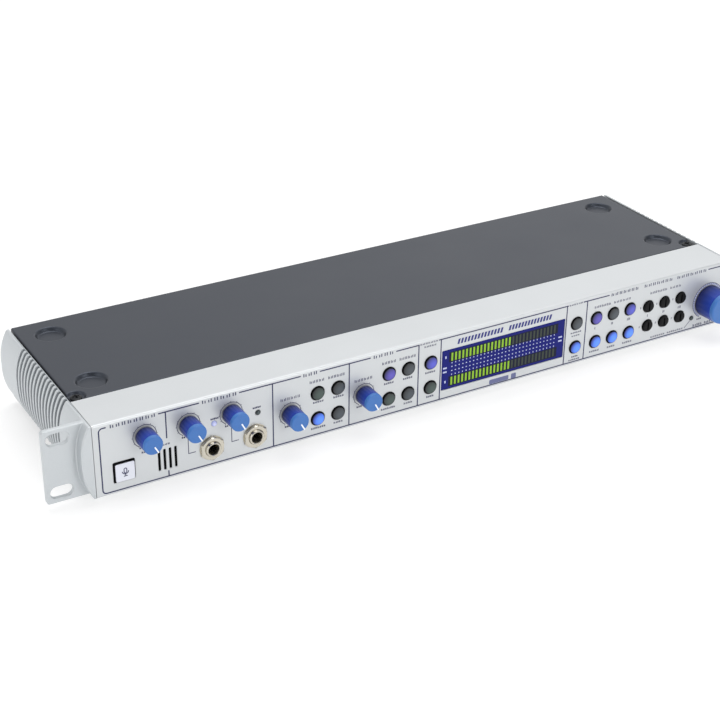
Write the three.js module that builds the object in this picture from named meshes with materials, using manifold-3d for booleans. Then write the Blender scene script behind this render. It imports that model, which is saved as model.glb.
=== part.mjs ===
// A one-unit rack-mount audio interface and monitor controller: an aluminium front extrusion and a folded
// steel case between two finned end cheeks, with knobs, lit buttons, trimmers, a level meter and jacks.
// Millimetres, +X to the user's right, +Y to the rear, +Z up. The origin is the centre of the footprint,
// on the surface that the feet stand on. Inside the group, Y is 0 on the front face and Z is 0 under the case.
import * as THREE from "three";
import { mergeVertices } from "three/addons/utils/BufferGeometryUtils.js";
import Module from "manifold-3d";

const wasm = await Module();
wasm.setup();

// ---- driving dimensions -------------------------------------------------------------------------------
const RACK_WIDTH = 482.6; // the 19 inch panel, over both ears
const RACK_HOLE_SPACING = 465.1;
const RACK_SLOT_RISE = 31.75; // between the two slots of one ear
const HEIGHT = 44; // one rack unit, less its clearance
const CASE_HALF = 216.5; // from the middle to an end cheek's inner face
const CASE_DEPTH = 128.7; // front face to rear panel
const FOOT_HEIGHT = 4;
const GAP = 0.3; // between pieces that meet

const FACE = 3; // thickness of the front face
const FLANGE = 2; // thickness of the extrusion's two flanges
const STRIP_DEPTH = 30.2; // the extrusion's top flange, in front of the cover
const LOWER_FLANGE_DEPTH = 14;
const EDGE_ROUND = 1.2; // the extrusion's front edges
const SHEET = 1.2; // the cover's and tray's steel
const REAR_SHEET = 1.5;
const PANEL_HALF = CASE_HALF - GAP;
const SEAM = 0.3; // between the front extrusion and the cover
const TOP_UNDERSIDE = HEIGHT - SHEET;

// ---- front panel layout: [x, z] on the face --------------------------------------------------------------
const HIGH_ROW = 28.1;
const LOW_ROW = 11.9;
const SMALL_KNOBS = {
  talkback_knob: [-187.4, 30.5],
  phones_1_knob: [-162.3, 30.2],
  phones_2_knob: [-137, 30.2],
  cue_knob: [-100.9, 19.8],
  aux_knob: [-53.7, 19.4],
};
const MAIN_KNOB = [201.8, 19.5];
const ROUND_BUTTONS = {
  cue_source_1_button: [-83.6, HIGH_ROW],
  cue_source_2_button: [-70.5, HIGH_ROW],
  cue_source_3_button: [-83.6, LOW_ROW],
  cue_source_4_button: [-70.5, LOW_ROW],
  main_source_1_button: [-37.1, HIGH_ROW],
  main_source_2_button: [-24.1, HIGH_ROW],
  main_source_3_button: [-37.1, LOW_ROW],
  main_source_4_button: [-24.1, LOW_ROW],
  digital_input_button: [-8.9, HIGH_ROW],
  digital_clock_button: [-8.9, LOW_ROW],
  meter_source_button: [96.4, HIGH_ROW],
  meter_hold_button: [96.4, LOW_ROW],
  speaker_1_button: [111.5, HIGH_ROW],
  speaker_2_button: [124.6, HIGH_ROW],
  speaker_3_button: [137.7, HIGH_ROW],
  mute_button: [111.8, LOW_ROW],
  dim_button: [124.9, LOW_ROW],
  mono_button: [138, LOW_ROW],
};
const TRIMMERS = {
  speaker_1_left_trim: [152.4, 26.5],
  speaker_2_left_trim: [165.4, 26.5],
  speaker_3_left_trim: [178.5, 26.5],
  speaker_1_right_trim: [152.9, 13.1],
  speaker_2_right_trim: [166, 13.1],
  speaker_3_right_trim: [179.1, 13.1],
};
const PHONES_JACKS = { phones_1_jack: [-149.2, 12.1], phones_2_jack: [-123, 12.1] };
const TALK = { x: -200.1, z: 12.8, opening: 12.4, cap: 11.4 };
const GRILLE = { x: -175.1, z: 12.8, slots: 4, pitch: 3.2, width: 1.4, height: 12.6 };
const METER = { x: 43.2, z: 20.3, width: 88.6, height: 26.2 };

// ---- sizes of the controls -------------------------------------------------------------------------------
const KNOB = { base: 5.7, tip: 5.5, front: -12.1, hole: 3.7 };
const BIG_KNOB = { base: 10.6, tip: 10.1, front: -16.5, hole: 3.7 };
const SKIRT_AIR = 0.6; // between a knob and the face
const SHAFT = 3; // radius
const BUTTON = { hole: 4.4, cap: 3.9, proud: 1.2, collar: 5.1, stem: 1.5 };
const TRIM = { hole: 4.1, cap: 3.6, proud: 1.4, slot: 0.9 };
const COLLAR_FRONT = FACE + 0.4;
const COLLAR_BACK = COLLAR_FRONT + 1;
const STEM_END = 7.1; // a button's stem, 0.3 mm short of its switch when it is pressed by 0.8 mm
const SWITCH_FRONT = 8.2;
const POT_FRONT = 5.5;
const BOARD_FRONT = 15;
const BOARD_BACK = 16.6;
const PLUG_RADIUS = 3.25; // the bore of a 6.35 mm jack

// ---- rear panel layout: x ----------------------------------------------------------------------------------
const REAR_Z = 21;
const INLET_X = 186;
const POWER_SWITCH_X = 152;
const REMOTE_X = 120;
const XLR_X = 88;
const DIGITAL_X = 58;
const BANK_1_X = 31; // its rightmost jack; the others follow at the pitch
const BANK_2_X = -69;
const BANK_JACKS = 6;
const JACK_PITCH = 16;
const RCA_X = -176;
const RCA_REACH = 8; // the RCA sockets stand this far out of the rear panel
const REAR_FACE = CASE_DEPTH + GAP; // front of every flange that is screwed on from outside

// ---- materials -----------------------------------------------------------------------------------------------
const finish = (color, roughness, metalness) => new THREE.MeshStandardMaterial({ color, roughness, metalness });
const silver = finish(0xd9dde2, 0.42, 0.55);
const coverGrey = finish(0x4a4e55, 0.55, 0.35);
const nickel = finish(0xb4b8bc, 0.3, 0.9);
const knobBlue = finish(0x2a5fc4, 0.35, 0);
const capBlue = finish(0x4f7dff, 0.3, 0);
const white = finish(0xf0f1f4, 0.4, 0);
const black = finish(0x141517, 0.55, 0);
const boardGreen = finish(0x1f5a3a, 0.6, 0);
const windowBlue = finish(0x2c2f8e, 0.15, 0);
const rubber = finish(0x1c1c1e, 0.9, 0);
const copper = finish(0xb87333, 0.4, 0.8);

// ---- solids ----------------------------------------------------------------------------------------------------
// A closed three.js geometry as a manifold-3d solid.
function solid(geometry) {
  const bare = geometry.clone();
  bare.deleteAttribute("normal");
  bare.deleteAttribute("uv");
  const merged = mergeVertices(bare, 1e-4);
  const triangles = [];
  for (let i = 0; i < merged.index.count; i += 3) {
    const corners = [0, 1, 2].map((corner) => merged.index.getX(i + corner));
    if (new Set(corners).size === 3) triangles.push(...corners); // a lathe has collapsed ones on its axis
  }
  const vertProperties = new Float32Array(merged.getAttribute("position").array);
  return new wasm.Manifold(new wasm.Mesh({ numProp: 3, vertProperties, triVerts: new Uint32Array(triangles) }));
}

const join = (first, ...others) => others.reduce((whole, part) => whole.add(part), first);
const cut = (first, ...others) => others.reduce((whole, part) => whole.subtract(part), first);
const mirrored = (shape) => shape.mirror([1, 0, 0]);

// A box between two corners.
function block(x0, x1, y0, y1, z0, z1) {
  const box = new THREE.BoxGeometry(x1 - x0, y1 - y0, z1 - z0);
  return solid(box.translate((x0 + x1) / 2, (y0 + y1) / 2, (z0 + z1) / 2));
}

// A box centred on (x, z), from y0 to y1.
const pad = (x, z, width, height, y0, y1) =>
  block(x - width / 2, x + width / 2, y0, y1, z - height / 2, z + height / 2);

// A body turned about the Y axis at (x, z). Its profile is a list of [radius, y] in the order of rising y.
function turned(x, z, profile, sides = 20) {
  const points = profile.map(([radius, y]) => new THREE.Vector2(radius, y));
  return solid(new THREE.LatheGeometry(points, sides).translate(x, 0, z));
}

// A cylinder along Y at (x, z), from y0 to y1.
const rod = (x, z, radius, y0, y1, sides) =>
  turned(x, z, [[0, y0], [radius, y0], [radius, y1], [0, y1]], sides);

// A cylinder or cone along Z at (x, y), from z0 to z1, with its own radius at each end.
function post(x, y, lowRadius, highRadius, z0, z1, sides = 20) {
  const cylinder = new THREE.CylinderGeometry(highRadius, lowRadius, z1 - z0, sides);
  return solid(cylinder.rotateX(Math.PI / 2).translate(x, y, (z0 + z1) / 2));
}

// An outline of [y, z] points, extruded along X.
function alongX(outline, x0, x1) {
  const shape = new THREE.Shape(outline.map(([y, z]) => new THREE.Vector2(y, z)));
  const bar = new THREE.ExtrudeGeometry(shape, { depth: x1 - x0, bevelEnabled: false });
  return solid(bar.rotateX(Math.PI / 2).rotateZ(Math.PI / 2).translate(x0, 0, 0));
}

// An outline of [x, z] points, extruded along Y.
function alongY(outline, y0, y1) {
  const shape = new THREE.Shape(outline.map(([x, z]) => new THREE.Vector2(x, -z)));
  const slab = new THREE.ExtrudeGeometry(shape, { depth: y1 - y0, bevelEnabled: false });
  return solid(slab.rotateX(-Math.PI / 2).translate(0, y0, 0));
}

// Points on a quarter circle round (y, z), from one angle to another in degrees.
function corner(y, z, radius, from, to, steps = 3) {
  return Array.from({ length: steps + 1 }, (_, i) => {
    const angle = THREE.MathUtils.degToRad(from + ((to - from) * i) / steps);
    return [y + radius * Math.cos(angle), z + radius * Math.sin(angle)];
  });
}

const unit = new THREE.Group();
unit.position.set(0, -(CASE_DEPTH + RCA_REACH + BIG_KNOB.front) / 2, FOOT_HEIGHT);

// Adds a solid to the unit as a named mesh.
function place(name, shape, material) {
  const { vertProperties, triVerts } = shape.getMesh();
  const geometry = new THREE.BufferGeometry();
  geometry.setAttribute("position", new THREE.BufferAttribute(vertProperties, 3));
  geometry.setIndex(new THREE.BufferAttribute(triVerts, 1));
  geometry.computeVertexNormals();
  const mesh = new THREE.Mesh(geometry, material);
  mesh.name = name;
  unit.add(mesh);
}

// ---- front panel -----------------------------------------------------------------------------------------------
function frontPanel() {
  const channel = alongX(
    [
      ...corner(EDGE_ROUND, EDGE_ROUND, EDGE_ROUND, 180, 270),
      [LOWER_FLANGE_DEPTH, 0],
      [LOWER_FLANGE_DEPTH, FLANGE],
      [FACE, FLANGE],
      [FACE, HEIGHT - FLANGE],
      [STRIP_DEPTH, HEIGHT - FLANGE],
      [STRIP_DEPTH, HEIGHT],
      ...corner(EDGE_ROUND, HEIGHT - EDGE_ROUND, EDGE_ROUND, 90, 180),
    ],
    -PANEL_HALF,
    PANEL_HALF,
  );
  const through = ([x, z], radius) => rod(x, z, radius, -1, FACE + 1, 16);
  const slots = Array.from({ length: GRILLE.slots }, (_, i) =>
    pad(GRILLE.x + (i - (GRILLE.slots - 1) / 2) * GRILLE.pitch, GRILLE.z, GRILLE.width, GRILLE.height, -1, FACE + 1));
  return cut(
    channel,
    ...Object.values(SMALL_KNOBS).map((at) => through(at, KNOB.hole)),
    through(MAIN_KNOB, BIG_KNOB.hole),
    ...Object.values(ROUND_BUTTONS).map((at) => through(at, BUTTON.hole)),
    ...Object.values(TRIMMERS).map((at) => through(at, TRIM.hole)),
    ...Object.values(PHONES_JACKS).map((at) => through(at, JACK.bushing + GAP)),
    pad(TALK.x, TALK.z, TALK.opening, TALK.opening, -1, FACE + 1),
    pad(METER.x, METER.z, METER.width, METER.height, -1, FACE + 1),
    ...slots,
  );
}

// A knob with its shaft, which ends just in front of its potentiometer.
function knob([x, z], { base, tip, front }) {
  const chamfer = 0.8;
  return turned(x, z, [
    [0, front],
    [tip - chamfer, front],
    [tip, front + chamfer],
    [base, -SKIRT_AIR],
    [SHAFT, -SKIRT_AIR],
    [SHAFT, POT_FRONT - GAP],
    [0, POT_FRONT - GAP],
  ], 24);
}

// A round push button: cap, collar behind the face, and stem.
function roundButton([x, z]) {
  const chamfer = 0.5;
  return turned(x, z, [
    [0, -BUTTON.proud],
    [BUTTON.cap - chamfer, -BUTTON.proud],
    [BUTTON.cap, chamfer - BUTTON.proud],
    [BUTTON.cap, COLLAR_FRONT],
    [BUTTON.collar, COLLAR_FRONT],
    [BUTTON.collar, COLLAR_BACK],
    [BUTTON.stem, COLLAR_BACK],
    [BUTTON.stem, STEM_END],
    [0, STEM_END],
  ], 12);
}

function talkButton() {
  const cap = pad(TALK.x, TALK.z, TALK.cap, TALK.cap, -BUTTON.proud, COLLAR_FRONT + 0.5);
  const collar = pad(TALK.x, TALK.z, TALK.opening + 1.4, TALK.opening + 1.4, COLLAR_FRONT, COLLAR_BACK);
  return join(cap, collar, rod(TALK.x, TALK.z, BUTTON.stem, COLLAR_BACK - 0.5, STEM_END, 12));
}

// A screwdriver trimmer's slotted rotor.
function trimmer([x, z]) {
  const rotor = turned(x, z, [
    [0, -TRIM.proud],
    [TRIM.cap, -TRIM.proud],
    [TRIM.cap, COLLAR_BACK],
    [BUTTON.stem, COLLAR_BACK],
    [BUTTON.stem, POT_FRONT - GAP],
    [0, POT_FRONT - GAP],
  ], 16);
  return cut(rotor, pad(x, z, TRIM.slot, 3 * TRIM.cap, -TRIM.proud - 1, 0));
}

// ---- jacks --------------------------------------------------------------------------------------------------------
const JACK = { bushing: 4.5, nut: 8.1, body: 13, depth: 22, board: 1.6 };

// A panel jack facing -Y on the front panel: nut, threaded bushing and moulded body, bored for the plug.
function phonesJack([x, z]) {
  const nose = -4;
  const nutBack = -GAP;
  const bodyFront = FACE + GAP;
  const whole = join(
    rod(x, z, JACK.bushing, nose, bodyFront + 1, 16),
    rod(x, z, JACK.nut, nutBack - 2, nutBack, 6),
    pad(x, z, JACK.body, JACK.body, bodyFront, bodyFront + JACK.depth),
  );
  return cut(whole, rod(x, z, PLUG_RADIUS, nose - 1, bodyFront + JACK.depth - 2, 16));
}

// A row of line jacks facing the rear on one small board, from x leftwards at the pitch.
function jackBank(x) {
  const bodyBack = CASE_DEPTH - REAR_SHEET - GAP;
  const bodyFront = bodyBack - JACK.depth;
  const nose = CASE_DEPTH + 3.5;
  const places = Array.from({ length: BANK_JACKS }, (_, i) => x - i * JACK_PITCH);
  const boardTop = REAR_Z - JACK.body / 2 + 0.5;
  const board = block(places.at(-1) - 7, x + 7, bodyFront - 3, bodyBack, boardTop - JACK.board, boardTop);
  const bodies = places.flatMap((at) => [
    pad(at, REAR_Z, JACK.body, JACK.body, bodyFront, bodyBack),
    rod(at, REAR_Z, JACK.bushing, bodyBack - 1, nose, 12),
    rod(at, REAR_Z, JACK.nut - 0.6, REAR_FACE, REAR_FACE + 1.8, 6),
  ]);
  const bores = places.map((at) => rod(at, REAR_Z, PLUG_RADIUS, bodyFront + 2, nose + 1, 12));
  return cut(join(board, ...bodies), ...bores);
}

// ---- the rear connectors --------------------------------------------------------------------------------------------
const INLET = { width: 28, height: 21, mouth: [24.6, 17], depth: 24 };
const POWER = { width: 20, height: 27, mouth: [14.4, 21.4], depth: 16 };
const REMOTE = { width: 31, height: 12.5, shell: [17.4, 8.8], reach: 5.5 };
const XLR = { width: 26, height: 31, bore: 9.6, barrel: 11.4, depth: 20 };
const DIGITAL = { width: 26, height: 30, mouth: 9.6, rise: 14, depth: 12 };
const RCA = { pitch: 14, barrel: 4.1, bore: 2.6 };

// A flange on the outside of the rear panel with a body through it; both are centred on (x, REAR_Z).
function flanged(x, width, height, thickness, bodyWidth, bodyHeight, depth) {
  return join(
    pad(x, REAR_Z, width, height, REAR_FACE, REAR_FACE + thickness),
    pad(x, REAR_Z, bodyWidth, bodyHeight, REAR_FACE - depth, REAR_FACE + 0.5),
  );
}

// The mains inlet, with three blades in its recess.
function inlet() {
  const [mouthWidth, mouthHeight] = INLET.mouth;
  const shell = cut(
    flanged(INLET_X, INLET.width + 6, INLET.height + 6, 1.6, INLET.width, INLET.height, INLET.depth),
    pad(INLET_X, REAR_Z, mouthWidth, mouthHeight, REAR_FACE - 15, REAR_FACE + 3),
  );
  const blades = [[-7, -2], [7, -2], [0, 2.5]].map(([dx, dz]) =>
    pad(INLET_X + dx, REAR_Z + dz, 2, 4, REAR_FACE - 16, REAR_FACE - 3));
  return join(shell, ...blades);
}

const powerFrame = () => cut(
  flanged(POWER_SWITCH_X, POWER.width, POWER.height, 1.6, POWER.width - 3, POWER.height - 3, POWER.depth),
  pad(POWER_SWITCH_X, REAR_Z, ...POWER.mouth, REAR_FACE - POWER.depth + 3, REAR_FACE + 3),
);

// The rocker: a shallow wedge of a cap over a round hub, which the hinge runs through.
const ROCKER = { hub: 3, pivot: REAR_FACE - 3.5, tilt: 8, half: 10, width: 13.4 };
function rocker() {
  const rise = ROCKER.half * Math.tan(THREE.MathUtils.degToRad(ROCKER.tilt));
  const face = [
    [ROCKER.pivot, REAR_Z - ROCKER.half],
    [ROCKER.pivot + 3.5 + rise, REAR_Z - ROCKER.half + 0.4],
    [ROCKER.pivot + 3.2, REAR_Z],
    [ROCKER.pivot + 3.5 - rise, REAR_Z + ROCKER.half - 0.4],
    [ROCKER.pivot, REAR_Z + ROCKER.half],
  ];
  const from = POWER_SWITCH_X - ROCKER.width / 2;
  const hub = solid(new THREE.CylinderGeometry(ROCKER.hub, ROCKER.hub, ROCKER.width, 16)
    .rotateZ(Math.PI / 2).translate(POWER_SWITCH_X, ROCKER.pivot, REAR_Z));
  return join(alongX(face, from, from + ROCKER.width), hub);
}

function remoteConnector() {
  const [shellWidth, shellHeight] = REMOTE.shell;
  const whole = join(
    flanged(REMOTE_X, REMOTE.width, REMOTE.height, 1, shellWidth + 2, shellHeight + 1.6, 9),
    pad(REMOTE_X, REAR_Z, shellWidth, shellHeight, REAR_FACE, REAR_FACE + REMOTE.reach),
  );
  const inside = pad(REMOTE_X, REAR_Z, shellWidth - 1, shellHeight - 1, REAR_FACE, REAR_FACE + REMOTE.reach + 1);
  return cut(whole, inside);
}

// The locking three-pin socket for the talkback output.
function xlrSocket() {
  const whole = join(
    pad(XLR_X, REAR_Z, XLR.width, XLR.height, REAR_FACE, REAR_FACE + 1.8),
    rod(XLR_X, REAR_Z, XLR.barrel, REAR_FACE - XLR.depth, REAR_FACE + 0.5, 24),
  );
  const pins = [90, 210, 330].map((degrees) => {
    const angle = THREE.MathUtils.degToRad(degrees);
    const [x, z] = [XLR_X + 4.2 * Math.cos(angle), REAR_Z - 4.2 * Math.sin(angle)];
    return rod(x, z, 1.2, REAR_FACE - 17, REAR_FACE - 4, 8);
  });
  return join(cut(whole, rod(XLR_X, REAR_Z, XLR.bore, REAR_FACE - 16, REAR_FACE + 3, 24)), ...pins);
}

// Two optical ports, one above the other, in one moulding.
function digitalBlock() {
  const whole = flanged(
    DIGITAL_X, DIGITAL.width, DIGITAL.height + 2, 1.6, DIGITAL.width - 6, DIGITAL.height - 1, DIGITAL.depth + 3);
  const ports = [-1, 1].map((side) =>
    pad(DIGITAL_X, REAR_Z + (side * DIGITAL.rise) / 2, DIGITAL.mouth, DIGITAL.mouth,
      REAR_FACE - DIGITAL.depth, REAR_FACE + 3));
  return cut(whole, ...ports);
}

// A pair of coaxial sockets on one plate.
function rcaBlock() {
  const places = [RCA_X - RCA.pitch / 2, RCA_X + RCA.pitch / 2];
  const plate = pad(RCA_X, REAR_Z, 2 * RCA.pitch, RCA.pitch, REAR_FACE, REAR_FACE + 1.2);
  const body = pad(RCA_X, REAR_Z, 2 * RCA.pitch - 4, RCA.pitch - 3, REAR_FACE - 12, REAR_FACE + 0.5);
  const barrels = places.map((x) => rod(x, REAR_Z, RCA.barrel, REAR_FACE, CASE_DEPTH + RCA_REACH, 16));
  const bores = places.map((x) => rod(x, REAR_Z, RCA.bore, REAR_FACE - 4, CASE_DEPTH + RCA_REACH + 1, 12));
  return cut(join(plate, body, ...barrels), ...bores);
}

// ---- case ---------------------------------------------------------------------------------------------------------------
const TRAY_HALF = CASE_HALF - 1.8;
const TRAY_WALL_TOP = 40.5;
const WELL = { x: 197.5, fronts: [47.8, 111], rim: 9.2, floor: 7.5, depth: 1.8 };
const SCREW = { x: 211.4, y: 34.8, rim: 5.8, floor: 4.4, depth: 1.6, head: 3.3, shank: 1.5 };
const FOOT = { rim: 7, waist: 6.2 };

const bothSides = (x) => [-x, x];
const wellPlaces = bothSides(WELL.x).flatMap((x) => WELL.fronts.map((y) => [x, y]));
const screwPlaces = bothSides(SCREW.x).map((x) => [x, SCREW.y]);

// The folded cover: a top sheet with four pressed wells for the feet of a unit above, two side flanges, and a
// dimple at each front corner that runs out over the sheet's edges.
function topCover() {
  const front = STRIP_DEPTH + SEAM;
  const flangeBottom = 34;
  const sheet = join(
    block(-PANEL_HALF, PANEL_HALF, front, CASE_DEPTH, TOP_UNDERSIDE, HEIGHT),
    block(-PANEL_HALF, SHEET - PANEL_HALF, front, CASE_DEPTH, flangeBottom, TOP_UNDERSIDE + 0.5),
    block(PANEL_HALF - SHEET, PANEL_HALF, front, CASE_DEPTH, flangeBottom, TOP_UNDERSIDE + 0.5),
  );
  const pressed = (places, { rim, floor, depth }, grow) => places.map(([x, y]) => {
    const bottom = HEIGHT - depth - (grow ? SHEET : 0);
    return post(x, y, floor + grow, rim + grow, bottom, grow ? HEIGHT - 0.5 : HEIGHT + 0.01, 18);
  });
  const footprint = block(-PANEL_HALF, PANEL_HALF, front, CASE_DEPTH, 0, HEIGHT);
  const bumps = [...pressed(wellPlaces, WELL, 0.7), ...pressed(screwPlaces, SCREW, 0.5)];
  const dishes = [...pressed(wellPlaces, WELL, 0), ...pressed(screwPlaces, SCREW, 0)];
  const holes = screwPlaces.map(([x, y]) => post(x, y, SCREW.shank + 0.5, SCREW.shank + 0.5, 36, HEIGHT, 12));
  return cut(join(sheet, ...bumps).intersect(footprint), ...dishes, ...holes);
}

// A pan-head screw in one of the cover's dimples.
function coverScrew([x, y]) {
  const seat = HEIGHT - SCREW.depth + GAP;
  return join(
    post(x, y, SCREW.head, SCREW.head - 0.8, seat, HEIGHT - 0.1, 20),
    post(x, y, SCREW.shank, SCREW.shank, 33, seat + 0.5, 12),
  );
}

function bottomTray() {
  const front = LOWER_FLANGE_DEPTH + GAP;
  const wallBack = CASE_DEPTH - REAR_SHEET - GAP;
  return join(
    block(-TRAY_HALF, TRAY_HALF, front, CASE_DEPTH, 0, SHEET),
    block(-TRAY_HALF, SHEET - TRAY_HALF, front, wallBack, 0, TRAY_WALL_TOP),
    block(TRAY_HALF - SHEET, TRAY_HALF, front, wallBack, 0, TRAY_WALL_TOP),
  );
}

// The rear panel, cut out for each connector's body.
function rearPanel() {
  const from = CASE_DEPTH - REAR_SHEET;
  const opening = (x, width, height) => pad(x, REAR_Z, width + 2 * GAP, height + 2 * GAP, from - 1, CASE_DEPTH + 1);
  const [shellWidth, shellHeight] = REMOTE.shell;
  const jacks = [BANK_1_X, BANK_2_X].flatMap((x) =>
    Array.from({ length: BANK_JACKS }, (_, i) =>
      rod(x - i * JACK_PITCH, REAR_Z, JACK.bushing + GAP, from - 1, CASE_DEPTH + 1, 12)));
  return cut(
    block(-TRAY_HALF, TRAY_HALF, from, CASE_DEPTH, SHEET + GAP, TOP_UNDERSIDE - GAP),
    opening(INLET_X, INLET.width, INLET.height),
    opening(POWER_SWITCH_X, POWER.width - 3, POWER.height - 3),
    opening(REMOTE_X, shellWidth + 2, shellHeight + 1.6),
    rod(XLR_X, REAR_Z, XLR.barrel + GAP, from - 1, CASE_DEPTH + 1, 24),
    opening(DIGITAL_X, DIGITAL.width - 6, DIGITAL.height - 1),
    opening(RCA_X, 2 * RCA.pitch - 4, RCA.pitch - 3),
    ...jacks,
  );
}

// A rubber foot under the tray, the size of the wells in the cover.
const foot = ([x, y]) => post(x, y, FOOT.waist, FOOT.rim, -FOOT_HEIGHT, -GAP, 16);

// ---- end cheeks ---------------------------------------------------------------------------------------------------------
const CHEEK = { lip: 1.3, bulge: 5.3, middle: 23, half: 21.5, fullness: 2.6 };
const GROOVE = { count: 15, first: 33.5, pitch: 4.7, width: 2.1, depth: 1.9, wall: 0.4 };
const EAR = { front: 6.8, thickness: 3, slot: 12.8, slotHeight: 7.2, round: 2 };

// How far a cheek stands out from the case at height z.
function cheekReach(z) {
  const t = Math.abs(z - CHEEK.middle) / CHEEK.half;
  return CHEEK.lip + CHEEK.bulge * (1 - Math.min(t, 1) ** CHEEK.fullness);
}

// A cheek's section, from its inner face out to its curved side, drawn in by the given depth.
function cheekSection(depth) {
  const steps = 8;
  const curve = Array.from({ length: steps + 1 }, (_, i) => {
    const z = (HEIGHT * i) / steps;
    return [CASE_HALF + Math.max(cheekReach(z) - depth, GROOVE.wall), z];
  });
  return [[CASE_HALF, 0], ...curve, [CASE_HALF, HEIGHT]];
}

// The right end cheek: a finned aluminium side with its rack ear.
function endCheek() {
  const side = alongY(cheekSection(0), 0, CASE_DEPTH);
  const beyond = block(CASE_HALF + GROOVE.wall, CASE_HALF + 12, 0, GROOVE.width, -1, HEIGHT + 1);
  const groove = cut(beyond, alongY(cheekSection(GROOVE.depth), -1, GROOVE.width + 1));
  const grooves = Array.from({ length: GROOVE.count }, (_, i) =>
    groove.translate([0, GROOVE.first + i * GROOVE.pitch - GROOVE.width / 2, 0]));
  const edge = RACK_WIDTH / 2;
  const { front, thickness, round, slot, slotHeight } = EAR;
  const plate = alongY([
    [CASE_HALF + 1, 0],
    ...corner(edge - round, round, round, -90, 0),
    ...corner(edge - round, HEIGHT - round, round, 0, 90),
    [CASE_HALF + 1, HEIGHT],
  ], front, front + thickness);
  const straight = (slot - slotHeight) / 2;
  const slots = [-1, 1].map((level) => {
    const [x, z] = [RACK_HOLE_SPACING / 2, HEIGHT / 2 + (level * RACK_SLOT_RISE) / 2];
    return alongY([
      ...corner(x + straight, z, slotHeight / 2, -90, 90, 6),
      ...corner(x - straight, z, slotHeight / 2, 90, 270, 6),
    ], front - 1, front + thickness + 1);
  });
  return cut(join(cut(side, ...grooves), plate), ...slots);
}

// ---- inside the case ------------------------------------------------------------------------------------------------------
const BOARD_HALF = 211;
const CASE_FLOOR = SHEET + GAP;

// The board behind the face, with the potentiometers and switches that the controls work.
function controlBoard() {
  const board = block(-BOARD_HALF, BOARD_HALF, BOARD_FRONT, BOARD_BACK, 2.6, HEIGHT - FLANGE - 0.6);
  const jacks = Object.values(PHONES_JACKS).map(([x]) => x);
  const side = JACK.body / 2 + 1;
  const notch = block(Math.min(...jacks) - side, Math.max(...jacks) + side, 14, 18, 0, 12.1 + side);
  const inBoard = BOARD_FRONT + 0.5;
  const pots = Object.values(SMALL_KNOBS).map(([x, z]) => pad(x, z, 9.4, 11, POT_FRONT, inBoard));
  const trims = Object.values(TRIMMERS).map(([x, z]) => pad(x, z, 7, 7, POT_FRONT, inBoard));
  const switches = [...Object.values(ROUND_BUTTONS), [TALK.x, TALK.z]].map(([x, z]) =>
    pad(x, z, 6, 6, SWITCH_FRONT, inBoard));
  const mainPot = pad(...MAIN_KNOB, 14, 14, POT_FRONT, inBoard);
  return join(cut(board, notch), ...pots, ...trims, ...switches, mainPot);
}

// The meter's window, set in its opening and held by a rim behind the face.
const meterWindow = () => join(
  pad(METER.x, METER.z, METER.width - 2 * GAP, METER.height - 2 * GAP, 0.3, FACE + 0.8),
  pad(METER.x, METER.z, METER.width + 3, METER.height + 3, FACE + GAP, FACE + 1.3),
);

// Two rows of light bars on their own board, plugged into the control board.
function meterBoard() {
  const rows = [28.1, 12.2].map((z) => pad(METER.x, z, 78, 6, FACE + 1.6, 9.2));
  const plugs = [-1, 1].map((side) => pad(METER.x + side * 36, METER.z, 5, 12, 10, BOARD_FRONT - GAP));
  return join(pad(METER.x, METER.z, 88, 30, 9, 10.6), ...rows, ...plugs);
}

const microphone = () => join(
  rod(GRILLE.x, GRILLE.z, 4.85, FACE + GAP, 9, 16),
  pad(GRILLE.x, GRILLE.z, 6, 2, 8, BOARD_FRONT - GAP),
);

// The main circuit board with its larger components.
function mainBoard() {
  const top = 9.6;
  const board = block(-205, 132, 34, 99, top - 1.6, top);
  const legs = [-198, -60, 60, 125].flatMap((x) => [40, 93].map((y) => post(x, y, 2.5, 2.5, CASE_FLOOR, top - 1, 8)));
  const capacitors = [[112, 50], [112, 66], [112, 82], [96, 50]].map(([x, y]) => post(x, y, 6, 6, top - 0.5, 29, 12));
  const relays = [-150, -130, -110, -90].map((x) => block(x, x + 15, 74, 84, top - 0.5, 20));
  const chips = [-40, -10, 20, 50].map((x) => block(x, x + 14, 60, 74, top - 0.5, 12));
  const heatSink = block(70, 84, 44, 88, top - 0.5, 30);
  return join(board, ...legs, ...capacitors, ...relays, ...chips, heatSink);
}

// The toroidal mains transformer, bolted through its middle.
function transformer() {
  const [x, y] = [168, 70];
  const ring = cut(post(x, y, 26, 26, CASE_FLOOR, 30, 28), post(x, y, 9, 9, CASE_FLOOR + 3, 31, 20));
  return join(ring, post(x, y, 3, 3, CASE_FLOOR + 1, 34, 10));
}

// ---- the assembly -----------------------------------------------------------------------------------------------------------
place("front_panel", frontPanel(), silver);
place("top_cover", topCover(), coverGrey);
place("bottom_tray", bottomTray(), coverGrey);
place("rear_panel", rearPanel(), coverGrey);
place("right_end_cheek", endCheek(), silver);
place("left_end_cheek", mirrored(endCheek()), silver);

const corners = ["left_front", "left_rear", "right_front", "right_rear"];
wellPlaces.forEach((at, i) => place(`${corners[i]}_foot`, foot(at), rubber));
screwPlaces.forEach((at, i) => place(`${["left", "right"][i]}_cover_screw`, coverScrew(at), black));

for (const [name, at] of Object.entries(SMALL_KNOBS)) place(name, knob(at, KNOB), knobBlue);
place("main_knob", knob(MAIN_KNOB, BIG_KNOB), knobBlue);
for (const [name, at] of Object.entries(ROUND_BUTTONS)) place(name, roundButton(at), capBlue);
place("talkback_button", talkButton(), white);
for (const [name, at] of Object.entries(TRIMMERS)) place(name, trimmer(at), black);
for (const [name, at] of Object.entries(PHONES_JACKS)) place(name, phonesJack(at), nickel);

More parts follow.
